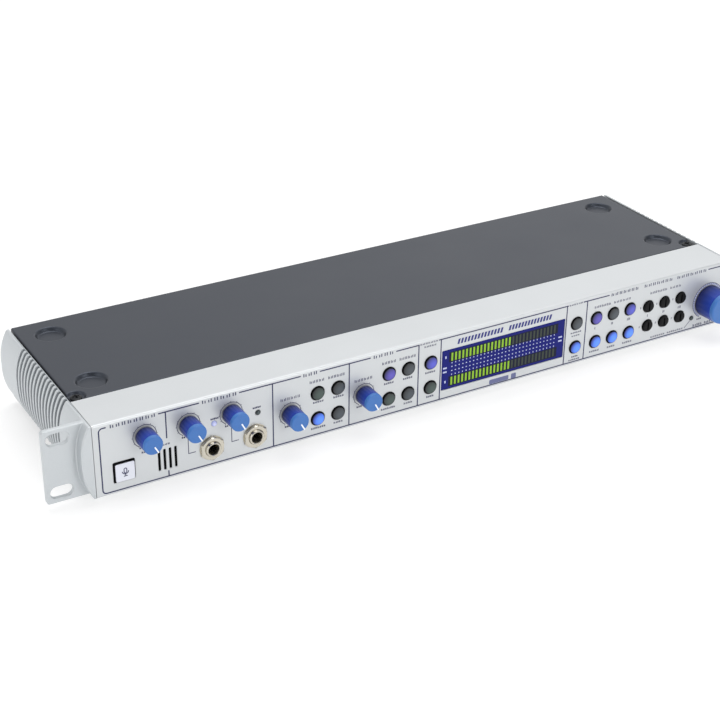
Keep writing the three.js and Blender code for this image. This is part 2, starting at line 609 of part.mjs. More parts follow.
place("meter_window", meterWindow(), windowBlue);
place("meter_board", meterBoard(), boardGreen);
place("talkback_microphone", microphone(), nickel);
place("control_board", controlBoard(), boardGreen);
place("main_board", mainBoard(), boardGreen);
place("power_transformer", transformer(), copper);

place("mains_inlet", inlet(), black);
place("power_switch_frame", powerFrame(), black);
place("power_rocker", rocker(), black);
place("remote_connector", remoteConnector(), nickel);
place("talkback_output_socket", xlrSocket(), nickel);
place("optical_ports", digitalBlock(), black);
place("line_jack_bank_1", jackBank(BANK_1_X), black);
place("line_jack_bank_2", jackBank(BANK_2_X), black);
place("coaxial_sockets", rcaBlock(), nickel);

export default unit;
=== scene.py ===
# %% [markdown]
# # A rack audio interface, dressed round its CAD frame
# The real thing is a long metal box one rack unit high: a silver extrusion for a face, a charcoal steel
# cover, and a finned casting at each end. Its character is in small things, so most cells below make
# something a few millimetres across: chamfered holes, dished keys, light bars and a printed frame. The CAD
# model says where every part is. This script reads those places and gives each part its final shape and
# finish.

# %% Load the frame and a millimetre ruler
import math

import bmesh
import bpy
import numpy as np
from mathutils import Matrix, Vector


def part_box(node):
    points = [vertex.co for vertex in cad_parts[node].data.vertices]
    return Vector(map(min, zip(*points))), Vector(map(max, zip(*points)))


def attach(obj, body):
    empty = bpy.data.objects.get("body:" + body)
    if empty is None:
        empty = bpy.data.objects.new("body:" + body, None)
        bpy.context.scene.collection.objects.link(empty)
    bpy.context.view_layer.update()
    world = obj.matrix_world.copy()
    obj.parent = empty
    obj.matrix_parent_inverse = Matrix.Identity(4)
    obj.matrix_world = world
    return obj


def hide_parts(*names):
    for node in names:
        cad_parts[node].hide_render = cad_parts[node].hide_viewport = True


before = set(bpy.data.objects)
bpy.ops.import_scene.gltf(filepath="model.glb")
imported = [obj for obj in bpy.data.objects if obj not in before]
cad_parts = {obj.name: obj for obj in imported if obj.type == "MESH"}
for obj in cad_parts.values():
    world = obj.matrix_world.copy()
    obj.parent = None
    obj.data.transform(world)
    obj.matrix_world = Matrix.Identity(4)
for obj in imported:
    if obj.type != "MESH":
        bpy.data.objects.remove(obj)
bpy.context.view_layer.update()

MM = 0.001
ORIGIN = np.array([0.0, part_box("front_panel")[0].y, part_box("front_panel")[0].z])


def span(node):
    """Lowest and highest corner of a CAD node, in millimetres from the face and from the case's underside."""
    return [(np.array(corner) - ORIGIN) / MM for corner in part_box(node)]


def middle(node):
    """The centre of a CAD node's box."""
    low, high = span(node)
    return (low + high) / 2


def face_at(node):
    """Where a control stands on the face, as (x, z)."""
    return middle(node)[[0, 2]]


PANEL_LOW, PANEL_HIGH = span("front_panel")
HEIGHT = PANEL_HIGH[2]
PANEL_HALF = PANEL_HIGH[0]
STRIP_DEPTH = PANEL_HIGH[1]
CASE_DEPTH = span("top_cover")[1][1]
BUTTONS = [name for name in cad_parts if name.endswith("_button") and name != "talkback_button"]
TRIMMERS = [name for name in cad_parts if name.endswith("_trim")]
SMALL_KNOBS = ["talkback_knob", "phones_1_knob", "phones_2_knob", "cue_knob", "aux_knob"]
PHONES_JACKS = ["phones_1_jack", "phones_2_jack"]
print("face", PANEL_LOW.round(1), PANEL_HIGH.round(1), "depth", CASE_DEPTH.round(1))

# %% [markdown]
# The camera stands to the left of the unit and above it, with a long lens. Its place is in the same
# millimetres as the parts, and three angles aim it: how far it turns to the right, how far it looks down,
# and a slight roll.

# %% Camera
CAMERA_PLACE = (-445.5, -661.7, 447.1)
CAMERA_ANGLES = (30.45, 27.82, 0.65)
LENS = 77.38


def aimed(azimuth, elevation, roll):
    """Rotation of a camera that looks along (sin a cos e, cos a cos e, -sin e), rolled about that line."""
    a, e, r = np.radians([azimuth, elevation, roll])
    ahead = np.array([np.sin(a) * np.cos(e), np.cos(a) * np.cos(e), -np.sin(e)])
    right = np.array([np.cos(a), -np.sin(a), 0.0])
    up = np.cross(right, ahead)
    axes = [right * np.cos(r) + up * np.sin(r), up * np.cos(r) - right * np.sin(r), -ahead]
    return Matrix(np.column_stack(axes).tolist()).to_4x4()


camera = bpy.data.objects.new("camera", bpy.data.cameras.new("camera"))
camera.data.lens = LENS
camera.data.sensor_width = 36
camera.data.clip_start, camera.data.clip_end = 0.05, 20
camera.matrix_world = Matrix.Translation(np.array(CAMERA_PLACE) * MM + ORIGIN) @ aimed(*CAMERA_ANGLES)
bpy.context.scene.collection.objects.link(camera)
bpy.context.scene.camera = camera

# %% [markdown]
# A soft studio. Dark glossy paint only shows its shape when one side of the room is brighter than the
# other, so the backdrop behind the unit is white and the side that the camera stands on is dimmer. The face
# is then lit by a broad lamp from the front right, the cheek by a weaker one, and the top from above.

# %% World and lamps
STUDIO_FRONT_TO_BACK = (0.36, 1.02)
STUDIO_LEFT_TO_RIGHT = (0.8, 1.05)
LAMPS = {  # place and size in metres, power in watts
    "key": ((0.5, -1.6, 0.75), 0.9, 11.5),
    "side": ((-1.7, -0.5, 0.7), 1.0, 5.5),
    "overhead": ((0.2, 0.2, 1.7), 1.4, 14.0),
}


def studio_world():
    """Brightness rises from the camera's side of the room, -Y, to the side behind the object, +Y, and, more
    gently, from left to right."""
    world = bpy.data.worlds.new("studio")
    world.use_nodes = True
    tree = world.node_tree
    background = tree.nodes["Background"]
    where = tree.nodes.new("ShaderNodeTexCoord")
    parts = tree.nodes.new("ShaderNodeSeparateXYZ")
    tree.links.new(where.outputs["Generated"], parts.inputs[0])
    product = tree.nodes.new("ShaderNodeMath")
    product.operation = "MULTIPLY"
    ramps = (("Y", -0.6, 0.45, *STUDIO_FRONT_TO_BACK), ("X", 0.2, 0.65, *STUDIO_LEFT_TO_RIGHT))
    for socket, (axis, *limits) in zip(product.inputs, ramps):
        ramp = tree.nodes.new("ShaderNodeMapRange")
        ramp.interpolation_type = "SMOOTHSTEP"
        for name, value in zip(("From Min", "From Max", "To Min", "To Max"), limits):
            ramp.inputs[name].default_value = value
        tree.links.new(parts.outputs[axis], ramp.inputs["Value"])
        tree.links.new(ramp.outputs["Result"], socket)
    tree.links.new(product.outputs[0], background.inputs["Strength"])
    background.inputs["Color"].default_value = (1.0, 1.0, 1.0, 1.0)
    bpy.context.scene.world = world


def lamp(name, place, size, watts):
    """A square area lamp that looks at the middle of the unit."""
    light = bpy.data.lights.new(name, "AREA")
    light.energy, light.size = watts, size
    holder = bpy.data.objects.new(name, light)
    holder.location = place
    holder.rotation_euler = (-Vector(place)).to_track_quat("-Z", "Y").to_euler()
    bpy.context.scene.collection.objects.link(holder)


studio_world()
for name, (place, size, watts) in LAMPS.items():
    lamp(name, place, size, watts)
bpy.context.scene.view_settings.view_transform = "Standard"

# %% [markdown]
# Shader graphs are sums over a surface, so it helps to write them as sums. `Wire` wraps one output of a
# node and turns + and * into Math nodes. `Paint` is one material: `node` adds any node and returns its
# output, `wear` gives the fine speckle, soft cloudiness and bump that every finish here is built from, and
# `shade` and `glow` follow a brightness stored on the mesh.

# %% Shader helpers


class Wire:
    """One output of a shader node, usable in sums."""

    def __init__(self, paint, socket):
        self.paint, self.socket = paint, socket

    def combined(self, operation, other):
        return self.paint.node("ShaderNodeMath", {"operation": operation}, {0: self, 1: other})

    def __add__(self, other):
        return self.combined("ADD", other)

    def __mul__(self, other):
        return self.combined("MULTIPLY", other)


def srgb(red, green, blue):
    """A colour given as it looks on a screen, 0 to 255, as the linear light that shaders add up."""
    value = np.array([red, green, blue]) / 255
    return (*np.where(value <= 0.04045, value / 12.92, ((value + 0.055) / 1.055) ** 2.4).tolist(), 1.0)


class Paint:
    """A material in the making. Fixed values are set on the shader's own sockets."""

    def __init__(self, name, slot, **fixed):
        self.material = bpy.data.materials.new(name)
        self.material.use_nodes = True
        self.material["slot"] = slot
        self.tree = self.material.node_tree
        self.shader = self.tree.nodes["Principled BSDF"]
        for label, value in fixed.items():
            self.shader.inputs[label.replace("_", " ")].default_value = value

    def node(self, kind, settings=None, inputs=None, output=0):
        made = self.tree.nodes.new(kind)
        for key, value in (settings or {}).items():
            setattr(made, key, value)
        for key, value in (inputs or {}).items():
            self.feed(made.inputs[key], value)
        return Wire(self, made.outputs[output])

    def feed(self, socket, value):
        if isinstance(value, Wire):
            self.tree.links.new(value.socket, socket)
        else:
            socket.default_value = value

    def noise(self, grain_mm, detail=2.0, stretch=(1, 1, 1)):
        """Smooth noise whose blobs are about grain_mm across, wider along an axis whose stretch is over 1."""
        place = self.node("ShaderNodeTexCoord", output="Object")
        at = self.node("ShaderNodeMapping", {}, {"Vector": place, "Scale": tuple(1 / s for s in stretch)})
        sizes = {"Vector": at, "Scale": 1 / (grain_mm * MM), "Detail": detail}
        return self.node("ShaderNodeTexNoise", {}, sizes)

    def tint(self, factor, low, high):
        """A colour that runs from low to high as factor goes from 0 to 1."""
        return self.node("ShaderNodeMix", {"data_type": "RGBA"}, {0: factor, 6: low, 7: high}, output=2)

    def wear(self, low, high, grain_mm, cloud_mm, roughness, bump, stretch=(1, 1, 1)):
        """Colour between low and high by grain and cloud, roughness about a middle, bump from the grain."""
        grain = self.noise(grain_mm, stretch=stretch)
        cloud = self.noise(cloud_mm, detail=3.0)
        self.feed(self.shader.inputs["Base Color"], self.tint(grain * 0.5 + cloud * 0.5, low, high))
        self.feed(self.shader.inputs["Roughness"], cloud * 0.1 + grain * 0.06 + (roughness - 0.08))
        pressed = self.node("ShaderNodeBump", {}, {"Strength": bump, "Distance": 0.05 * MM, "Height": grain})
        self.feed(self.shader.inputs["Normal"], pressed)
        return self

    def light(self):
        """The piece's own "light" value, stored on its points."""
        return self.node("ShaderNodeAttribute", {"attribute_name": "light"}, output="Fac")

    def shade(self, dark):
        """Fades the colour made so far into a dark one where the light value falls to 0."""
        colour = Wire(self, self.shader.inputs["Base Color"].links[0].from_socket)
        self.feed(self.shader.inputs["Base Color"], self.tint(self.light(), dark, colour))
        return self

    def glow(self, edge, core, strength):
        """Light from inside, in the core's colour where the light value is 1 and the edge's where it is 0."""
        self.feed(self.shader.inputs["Emission Color"], self.tint(self.light(), edge, core))
        self.shader.inputs["Emission Strength"].default_value = strength
        return self

# %% [markdown]
# The finishes. The face and cheeks are satin silver: mostly metal, blasted so finely that highlights spread
# wide. The cover is charcoal powder coat, whose colour is nearly black and whose grey comes from the
# backdrop mirrored in it. Knob caps, keys and lenses are plastics, and a lit key glows from inside.

# %% Finishes


def finish(name, slot, low, high, *texture, stretch=(1, 1, 1), **fixed):
    """A worn material. The two colours are as seen on a screen; texture is grain, cloud, roughness, bump."""
    return Paint(name, slot, **fixed).wear(srgb(*low), srgb(*high), *texture, stretch=stretch).material


silver = finish("satin_silver", "silver_panel", (200, 203, 205), (214, 217, 219), 0.35, 60, 0.42, 0.12,
                Metallic=0.55)
# Painted shade: down in the grooves between the fins this colour fades to the dark grey below.
cheek_silver = Paint("cast_silver", "silver_cheek", Metallic=0.45).wear(
    srgb(192, 197, 200), srgb(208, 212, 215), 0.5, 35, 0.46, 0.25).shade(srgb(96, 104, 112)).material
charcoal = finish("charcoal_powder_coat", "charcoal_steel", (7, 10, 16), (14, 18, 26), 0.55, 50, 0.4,
                  0.35, Specular_IOR_Level=0.95, Specular_Tint=srgb(222, 232, 252))
# The body fades to the dark blue srgb(6, 10, 62) towards the face: painted shade near the panel.
knob_body = Paint("knob_body_blue", "knob_blue", Specular_IOR_Level=0.35).wear(
    srgb(18, 50, 150), srgb(28, 66, 170), 0.4, 4, 0.38, 0.1).shade(srgb(6, 10, 62)).material
knob_cap = finish("knob_cap_blue", "knob_blue", (40, 98, 172), (56, 118, 192), 0.3, 3, 0.42, 0.12,
                  Coat_Weight=0.3, Coat_Roughness=0.25)
white_plastic = finish("white_plastic", "white_cap", (218, 221, 232), (230, 232, 241), 0.5, 6, 0.4, 0.08,
                       Coat_Roughness=0.2)
pointer_white = finish("pointer_white", "white_cap", (236, 242, 250), (250, 252, 255), 0.2, 2, 0.5, 0.05)
black_plastic = finish("black_plastic", "black_plastic", (4, 5, 7), (11, 12, 15), 0.4, 5, 0.5, 0.2,
                       Specular_IOR_Level=0.18)
black_screw = finish("black_oxide", "black_screw", (18, 19, 22), (38, 40, 44), 0.25, 2, 0.36, 0.25,
                     Metallic=0.6)
rubber = finish("rubber", "rubber", (18, 18, 19), (32, 32, 33), 0.3, 3, 0.78, 0.4)
nickel = finish("nickel_plate", "nickel", (186, 180, 166), (216, 211, 198), 0.3, 3, 0.24, 0.1,
                Metallic=0.95)
gold = finish("gold_contact", "nickel", (214, 178, 92), (240, 208, 128), 0.3, 2, 0.25, 0.1, Metallic=1.0)
steel = finish("bright_steel", "nickel", (150, 152, 156), (196, 198, 202), 0.3, 3, 0.3, 0.15, Metallic=0.95)
# This black also fills the grille's slots, as painted shade.
felt = finish("black_felt_and_slot_shade", "black_plastic", (5, 5, 6), (16, 16, 18), 0.25, 1.5, 0.95, 0.9,
              Specular_IOR_Level=0.05)
ink = finish("navy_ink", "window", (28, 30, 72), (42, 44, 90), 0.3, 8, 0.55, 0.1)
shutter_grey = finish("shutter_grey", "black_plastic", (44, 46, 50), (62, 64, 69), 0.3, 3, 0.5, 0.15)
white_ink = finish("white_ink", "white_cap", (178, 186, 226), (206, 212, 240), 0.3, 3, 0.5, 0.05)
window_blue = finish("window_blue", "window", (18, 24, 104), (28, 34, 124), 0.5, 20, 0.3, 0.05,
                     Coat_Weight=0.08, Coat_Roughness=0.05, Specular_IOR_Level=0.1)
bar_black = finish("bar_black", "black_plastic", (10, 14, 36), (18, 24, 52), 0.4, 5, 0.3, 0.05,
                   Coat_Weight=0.08, Coat_Roughness=0.08, Specular_IOR_Level=0.15)
segment_lit = Paint("segment_lit", "window").wear(srgb(100, 144, 10), srgb(136, 182, 22), 0.3, 3, 0.4, 0.05)
segment_lit = segment_lit.glow(srgb(60, 116, 2), srgb(190, 232, 16), 0.32).material
segment_dim = finish("segment_dim", "window", (24, 38, 28), (38, 54, 40), 0.3, 3, 0.35, 0.05)
board_green = finish("solder_mask", "board", (20, 74, 42), (34, 96, 56), 0.6, 6, 0.4, 0.3, Coat_Weight=0.4)
copper = finish("enamelled_copper", "copper", (150, 84, 44), (196, 118, 66), 0.5, 4, 0.35, 0.4,
                stretch=(1, 1, 12), Metallic=0.8)


def key_plastic(name, edge, core, glow):
    """Translucent moulded plastic under a clear coat. Colour fades to the edge as painted shade, light as a
    glow.
    """
    edge, core = srgb(*edge), srgb(*core)
    dim_core = tuple(0.8 * c for c in core[:3]) + (1.0,)
    paint = Paint(name, "button_cap", Coat_Weight=0.25, Coat_Roughness=0.15)
    return paint.wear(dim_core, core, 0.4, 3, 0.38, 0.06).shade(edge).glow(edge, core, glow).material


key_blue = key_plastic("key_lit_blue", (14, 22, 104), (80, 136, 255), 0.4)
key_indigo = key_plastic("key_lit_indigo", (16, 18, 78), (82, 88, 204), 0.14)
key_purple = key_plastic("key_lit_violet", (18, 16, 66), (90, 80, 188), 0.12)
# The unlit finishes keep a faint 0.01 glow, which is painted light, and their fade to a dark edge is painted
# shade.
key_grey = key_plastic("key_unlit", (10, 14, 18), (66, 74, 82), 0.01)
key_green = key_plastic("key_unlit_green", (8, 17, 18), (60, 80, 74), 0.01)
lens_lit = key_plastic("lens_lit", (130, 146, 204), (204, 208, 244), 0.3)
lens_dark = key_plastic("lens_dark", (16, 24, 26), (66, 78, 80), 0.01)
title_ink = finish("bold_blue_ink", "window", (30, 34, 112), (44, 48, 132), 0.3, 8, 0.55, 0.1)
print(len(bpy.data.materials), "finishes")

# %% [markdown]
# Almost every part is a ring of points carried somewhere: round an axis for a knob, along the panel for the
# extrusion, front to back for a cheek. `loft` joins such a stack of rings into a closed solid. A shape is a
# pair: its points, and groups of faces that have the same number of corners, so whole shapes are moved as
# arrays.

# %% Shape helpers


def loft(rings, closed=False):
    """Joins point j of ring i to its neighbours in ring i and ring i + 1. The end rings are filled, or, when
    closed is true, the last ring joins the first."""
    rings = np.asarray(rings, float)
    count, around = rings.shape[:2]
    i, j = np.meshgrid(np.arange(count if closed else count - 1), np.arange(around), indexing="ij")
    after, beside = (i + 1) % count, (j + 1) % around
    corners = [i * around + j, after * around + j, after * around + beside, i * around + beside]
    groups = [np.stack(corners, axis=-1).reshape(-1, 4)]
    if not closed:
        groups += [np.arange(around)[None], np.arange(count * around - 1, (count - 1) * around - 1, -1)[None]]
    return rings.reshape(-1, 3), groups


def circle(count):
    """Angles all the way round, evenly spaced."""
    return np.linspace(0, 2 * np.pi, count, endpoint=False)


def turned(profile, at, sides=48, closed=False):
    """A profile of (radius, y) turned about the line along Y through at = (x, z): the point at angle t is
    (x + r cos t, y, z + r sin t). A radius may be an array with one value per angle, for flutes, flats and
    recesses. A closed profile makes a tube."""
    angle = circle(sides)
    radius = np.stack([np.broadcast_to(r, sides) for r, _ in profile])
    y = np.array([y for _, y in profile], float)
    x, z = at[0] + radius * np.cos(angle), at[1] + radius * np.sin(angle)
    return loft(np.stack([x, np.broadcast_to(y[:, None], x.shape), z], axis=-1), closed)


def hexagon(flats, sides=48):
    """Radius of a hexagon at each angle, with corners up and down: (f / 2) / cos(t mod 60 - 30 degrees)."""
    return flats / 2 / np.cos((circle(sides) + np.pi / 6) % (np.pi / 3) - np.pi / 6)


def cross(half, reach, sides=48):
    """Radius of a plus sign at each angle: the farther of its two bars, of this half width and reach."""
    c, s = np.abs(np.cos(circle(sides))) + 1e-9, np.abs(np.sin(circle(sides))) + 1e-9
    return np.maximum(np.minimum(half / c, reach / s), np.minimum(reach / c, half / s))


def rounded(width, height, radius, steps=6):
    """Outline of a rectangle with round corners: a quarter circle about each corner's centre."""
    angle = (np.linspace(0, np.pi / 2, steps) + np.arange(4)[:, None] * np.pi / 2).ravel()
    side_x = np.repeat([1, -1, -1, 1], steps) * (width / 2 - radius)
    side_z = np.repeat([1, 1, -1, -1], steps) * (height / 2 - radius)
    return np.stack([side_x + radius * np.cos(angle), side_z + radius * np.sin(angle)], axis=-1)


def slab(at, size, radius, layers, steps=6):
    """A rounded rectangle carried along Y. Each layer is (inset, y), so a chamfer is two layers."""
    rings = []
    for inset, y in layers:
        outline = rounded(size[0] - 2 * inset, size[1] - 2 * inset, max(radius - inset, 0.01), steps)
        x, z = outline.T + np.reshape(at, (2, 1))
        rings.append(np.column_stack([x, np.full(len(x), y), z]))
    return loft(rings)


def blocks(centres, sizes, lean=0.0):
    """Many boxes at once. Each corner is centre + half size times (+-1, +-1, +-1), and lean slides it along X
    with height, as italic type leans."""
    centres, sizes = np.broadcast_arrays(np.asarray(centres, float).reshape(-1, 3), np.asarray(sizes, float))
    sign = np.array([[x, y, z] for x in (-1, 1) for y in (-1, 1) for z in (-1, 1)])
    offset = sizes[:, None] / 2 * sign
    offset[..., 0] += lean * offset[..., 2]
    sides = np.array([[0, 1, 3, 2], [4, 6, 7, 5], [0, 4, 5, 1], [2, 3, 7, 6], [0, 2, 6, 4], [1, 5, 7, 3]])
    faces = (np.arange(len(centres))[:, None, None] * 8 + sides).reshape(-1, 4)
    return (centres[:, None] + offset).reshape(-1, 3), [faces]


def stack(*shapes):
    """Several shapes as one."""
    starts = np.cumsum([0] + [len(points) for points, _ in shapes[:-1]])
    groups = [group + start for start, (_, own) in zip(starts, shapes) for group in own]
    return np.concatenate([points for points, _ in shapes]), groups


def moved(shape, x, y, z):
    """The shape, carried by x, y and z."""
    return shape[0] + (x, y, z), shape[1]


def flipped(shape):
    """The mirror image in X."""
    return shape[0] * (-1, 1, 1), shape[1]


WAYS = {
    "rear": ((1, 0, 0), (0, -1, 0), (0, 0, 1)),
    "up": ((1, 0, 0), (0, 0, -1), (0, 1, 0)),
    "down": ((1, 0, 0), (0, 0, 1), (0, 1, 0)),
}


def facing(way, shape, at):
    """A shape that was drawn facing the front about the origin, turned another way and moved."""
    return shape[0] @ np.array(WAYS[way], float) + at, shape[1]


def points_of(mesh):
    """A mesh's points, in the same millimetres as the shapes."""
    points = np.empty(3 * len(mesh.vertices))
    mesh.vertices.foreach_get("co", points)
    return (points.reshape(-1, 3) - ORIGIN) / MM


def mesh_of(name, shape):
    """A Blender mesh of a shape, in the frame's metres, with every face outwards."""
    points, groups = shape
    mesh = bpy.data.meshes.new(name)
    mesh.from_pydata((points * MM + ORIGIN).tolist(), [], [row for group in groups for row in group.tolist()])
    work = bmesh.new()
    work.from_mesh(mesh)
    bmesh.ops.recalc_face_normals(work, faces=work.faces)
    work.to_mesh(mesh)
    work.free()
    return mesh


def soften(mesh, angle):
    """Smooth shading, with an edge kept sharp where its faces meet at more than the angle in degrees."""
    mesh.polygons.foreach_set("use_smooth", np.ones(len(mesh.polygons), bool))
    mesh.set_sharp_from_angle(angle=math.radians(angle))


def piece(name, shape, material, body="chassis", replaces=(), sharp=32, light=None):
    """Makes an object of a shape or a finished mesh, and tells the frame what it rides on and replaces. The
    light, if any, is a function from points to the brightness that a glowing finish reads."""
    mesh = shape if isinstance(shape, bpy.types.Mesh) else mesh_of(name, shape)
    if light:
        values = light(points_of(mesh)).astype(np.float32)
        mesh.attributes.new("light", "FLOAT", "POINT").data.foreach_set("value", values)
    mesh.name = name
    mesh.materials.clear()
    mesh.materials.append(material)
    soften(mesh, sharp)
    made = bpy.data.objects.new(name, mesh)
    bpy.context.scene.collection.objects.link(made)
    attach(made, body)
    if replaces:
        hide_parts(*replaces)
    return made


def combine(name, whole, tool, operation="DIFFERENCE"):
    """The boolean of two shapes, worked out exactly and baked into a new mesh."""
    objects = []
    for part, shape in (("whole", whole), ("tool", tool)):
        mesh = shape if isinstance(shape, bpy.types.Mesh) else mesh_of(f"{name}_{part}", shape)
        objects.append(bpy.data.objects.new(f"{name}_{part}", mesh))
        bpy.context.scene.collection.objects.link(objects[-1])
    join = objects[0].modifiers.new("join", "BOOLEAN")
    join.object, join.operation, join.solver = objects[1], operation, "EXACT"
    result = bpy.data.meshes.new_from_object(objects[0].evaluated_get(bpy.context.evaluated_depsgraph_get()))
    for temporary in objects:
        bpy.data.objects.remove(temporary)
    return result

# %% [markdown]
# The face is an aluminium extrusion: a plate with a flange folded back over the top and a short one below.
# It could be modelled as a box with the back hollowed out, but carrying the real section along the panel
# gives the rounded front edges at once. Every hole is cut with a tool whose mouth flares, so its rim comes
# out chamfered as the milled one is.

# %% Front panel
FACE = 3.0
FLANGE = 2.0
LOWER_FLANGE = 14.0
EDGE_ROUND = 1.3
EDGE_END = 1.7
SMALL_BEVEL = 0.35
RIM = 0.22


def quarter(y, z, radius, start, steps=7):
    """Points on a quarter circle from the start angle, in degrees, as (y, z)."""
    angle = np.radians(np.linspace(start, start + 90, steps))
    return np.column_stack([y + radius * np.cos(angle), z + radius * np.sin(angle)])


def hole(at, radius):
    """A drill with a flared mouth."""
    flare = radius + RIM
    return turned([(flare + 1, -1), (radius, RIM), (radius, FACE + 1)], at, 56)


def slot_cutter(at, size, radius):
    """A rounded rectangular cutter with a flared mouth."""
    return slab(at, size, radius, [(-RIM - 1, -1), (0, RIM), (0, FACE + 1)])


def extrusion():
    """The panel's section, carried from one end to the other."""
    section = np.concatenate([
        quarter(EDGE_ROUND, EDGE_ROUND, EDGE_ROUND, 180),
        [(EDGE_END, 0), (LOWER_FLANGE - 0.3, 0), (LOWER_FLANGE, 0.3), (LOWER_FLANGE, FLANGE), (FACE, FLANGE)],
        [(FACE, HEIGHT - FLANGE), (STRIP_DEPTH, HEIGHT - FLANGE), (STRIP_DEPTH, HEIGHT - SMALL_BEVEL)],
        [(STRIP_DEPTH - SMALL_BEVEL, HEIGHT), (EDGE_END, HEIGHT)],
        quarter(EDGE_ROUND, HEIGHT - EDGE_ROUND, EDGE_ROUND, 90),
        [(0, HEIGHT - EDGE_END), (0, EDGE_END)],
    ])
    rings = [np.column_stack([np.full(len(section), x), section]) for x in (-PANEL_HALF, PANEL_HALF)]
    return loft(rings)


GRILLE_SLOTS = [-179.9, -176.7, -173.5, -170.3]
GRILLE_SLOT_SIZE = (1.45, 12.8)
GRILLE_Z = middle("talkback_microphone")[2]
window_low, window_high = span("meter_window")
WINDOW_RIM = 1.5
WINDOW = (face_at("meter_window"), (window_high - window_low)[[0, 2]] - 2 * WINDOW_RIM)
KEY_HOLE, TRIM_HOLE, KNOB_HOLE, JACK_HOLE, LIGHT_HOLE = 4.4, 4.1, 3.7, 4.8, 1.6
TALK_AT = face_at("talkback_button")
TALK_OPENING = 12.4
LIGHTS = {"phones_1_light": (-147.3, 26.6), "phones_2_light": (-120.9, 26.1), "remote_light": (189.8, 9.3)}
DRILLED = ((BUTTONS, KEY_HOLE), (TRIMMERS, TRIM_HOLE), (SMALL_KNOBS + ["main_knob"], KNOB_HOLE),
           (PHONES_JACKS, JACK_HOLE))

tools = [hole(face_at(name), radius) for names, radius in DRILLED for name in names]
tools += [hole(at, LIGHT_HOLE) for at in LIGHTS.values()]
tools += [slot_cutter((x, GRILLE_Z), GRILLE_SLOT_SIZE, 0.6) for x in GRILLE_SLOTS]
tools += [slot_cutter(TALK_AT, (TALK_OPENING, TALK_OPENING), 0.8)]
tools += [slot_cutter(*WINDOW, 0.6)]
panel_mesh = combine("panel", extrusion(), stack(*tools))
panel = piece("front_panel_machined", panel_mesh, silver, replaces=["front_panel"])
panel.modifiers.new("even_shading", "WEIGHTED_NORMAL").keep_sharp = True
print("front panel:", len(tools), "openings,", len(panel.data.polygons), "faces")

# %% [markdown]
# The cover is one sheet of steel folded down over both sides. Four round wells take the feet of a unit
# stacked on top, and a dimple at each front corner drops a screw below the surface. Wells could be cut out,
# but that leaves knife edges that no press makes. Pressing is a displacement, so the sheet is a grid that
# sinks by a smooth step inside each well, and its underside sinks with it.

# %% Top cover
SHEET = 1.2
FOLD = 1.0
SEAM = 0.35
END_BEVEL = 0.2
WELL_SHAPE = (9.4, 7.2, 2.3)  # radius at the rim, radius at the floor, depth
DIMPLE_SHAPE = (5.8, 4.4, 1.6)
COVER_HALF = PANEL_HALF - 1.0
COVER_LOWEST = 34.2
PRESSING_LOWEST, PRESSING_FADE = 39.4, 3.0
FINE, COARSE = 0.36, 12.0
FEET = [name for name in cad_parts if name.endswith("_foot")]
COVER_SCREWS = [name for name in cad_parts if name.endswith("_cover_screw")]
wells = np.array([(*middle(name)[:2], *WELL_SHAPE) for name in FEET]
                 + [(*middle(name)[:2], *DIMPLE_SHAPE) for name in COVER_SCREWS])


def eased(t):
    """0 below 0, 1 above 1, and t - 0.5 sin(2 pi t) / (2 pi) between: a straight slope with rounded ends."""
    t = np.clip(t, 0, 1)
    return t - 0.5 * np.sin(2 * np.pi * t) / (2 * np.pi)


def pressed(x, y):
    """How deep the sheet is pressed: depth * (1 - eased((r - floor) / (rim - floor))) in each well."""
    at_x, at_y, rim, floor, depth = wells.T
    r = np.hypot(x[..., None] - at_x, y[..., None] - at_y)
    return (depth * (1 - eased((r - floor) / (rim - floor)))).max(axis=-1)


def between(*stops):
    """Stations that run through the stops, given as (from, to, step)."""
    runs = [np.linspace(a, b, max(2, round((b - a) / step) + 1)) for a, b, step in stops]
    return np.unique(np.concatenate(runs))


def cover_path():
    """The sheet's section from the left flange over the top to the right one: (x, z) and outward normal."""
    flat = COVER_HALF - FOLD
    angle = np.radians(np.linspace(0, 90, 7))
    arc = np.column_stack([flat + FOLD * np.cos(angle), HEIGHT - FOLD + FOLD * np.sin(angle)])
    rise = np.linspace(COVER_LOWEST, HEIGHT - FOLD, 9)[:-1]
    top = between((0, 180, COARSE), (180, flat, FINE))[:-1]
    right = np.concatenate([np.column_stack([np.full(len(rise), COVER_HALF), rise]), arc,
                            np.column_stack([top[::-1], np.full(len(top), HEIGHT)])])
    outward = np.concatenate([np.tile([1, 0], (len(rise), 1)),
                              np.column_stack([np.cos(angle), np.sin(angle)]),
                              np.tile([0, 1], (len(top), 1))])
    path = np.concatenate([right[:-1] * (-1, 1), right[::-1]])
    return path, np.concatenate([outward[:-1] * (-1, 1), outward[::-1]])


def cover():
    """The section carried from front to back, finely where wells are, sunk by the wells' depth: the outer
    surface, then the inner one SHEET below it."""
    path, outward = cover_path()
    y = between((STRIP_DEPTH + SEAM, 58, FINE), (58, 101, 5), (101, 121, FINE), (121, CASE_DEPTH, 2))
    y = np.insert(y, [1, len(y) - 1], [y[0] + 0.12, y[-1] - 0.12])
    bevel = np.zeros(len(y))
    bevel[[0, -1]] = END_BEVEL
    x, z = path.T
    sink = pressed(x[None], y[:, None]) * np.clip((z - PRESSING_LOWEST) / PRESSING_FADE, 0, 1)
    rings = []
    for depth, order in ((bevel, slice(None)), (SHEET - bevel, slice(None, None, -1))):
        ring = np.stack([x - depth[:, None] * outward[:, 0], np.broadcast_to(y[:, None], sink.shape),
                         z - depth[:, None] * outward[:, 1] - sink], axis=-1)
        rings.append(ring[:, order])
    return loft(np.concatenate(rings, axis=1))


lid = piece("top_cover_pressed", cover(), charcoal, replaces=["top_cover"], sharp=50)
print("cover:", len(lid.data.polygons), "faces,", len(wells), "wells")

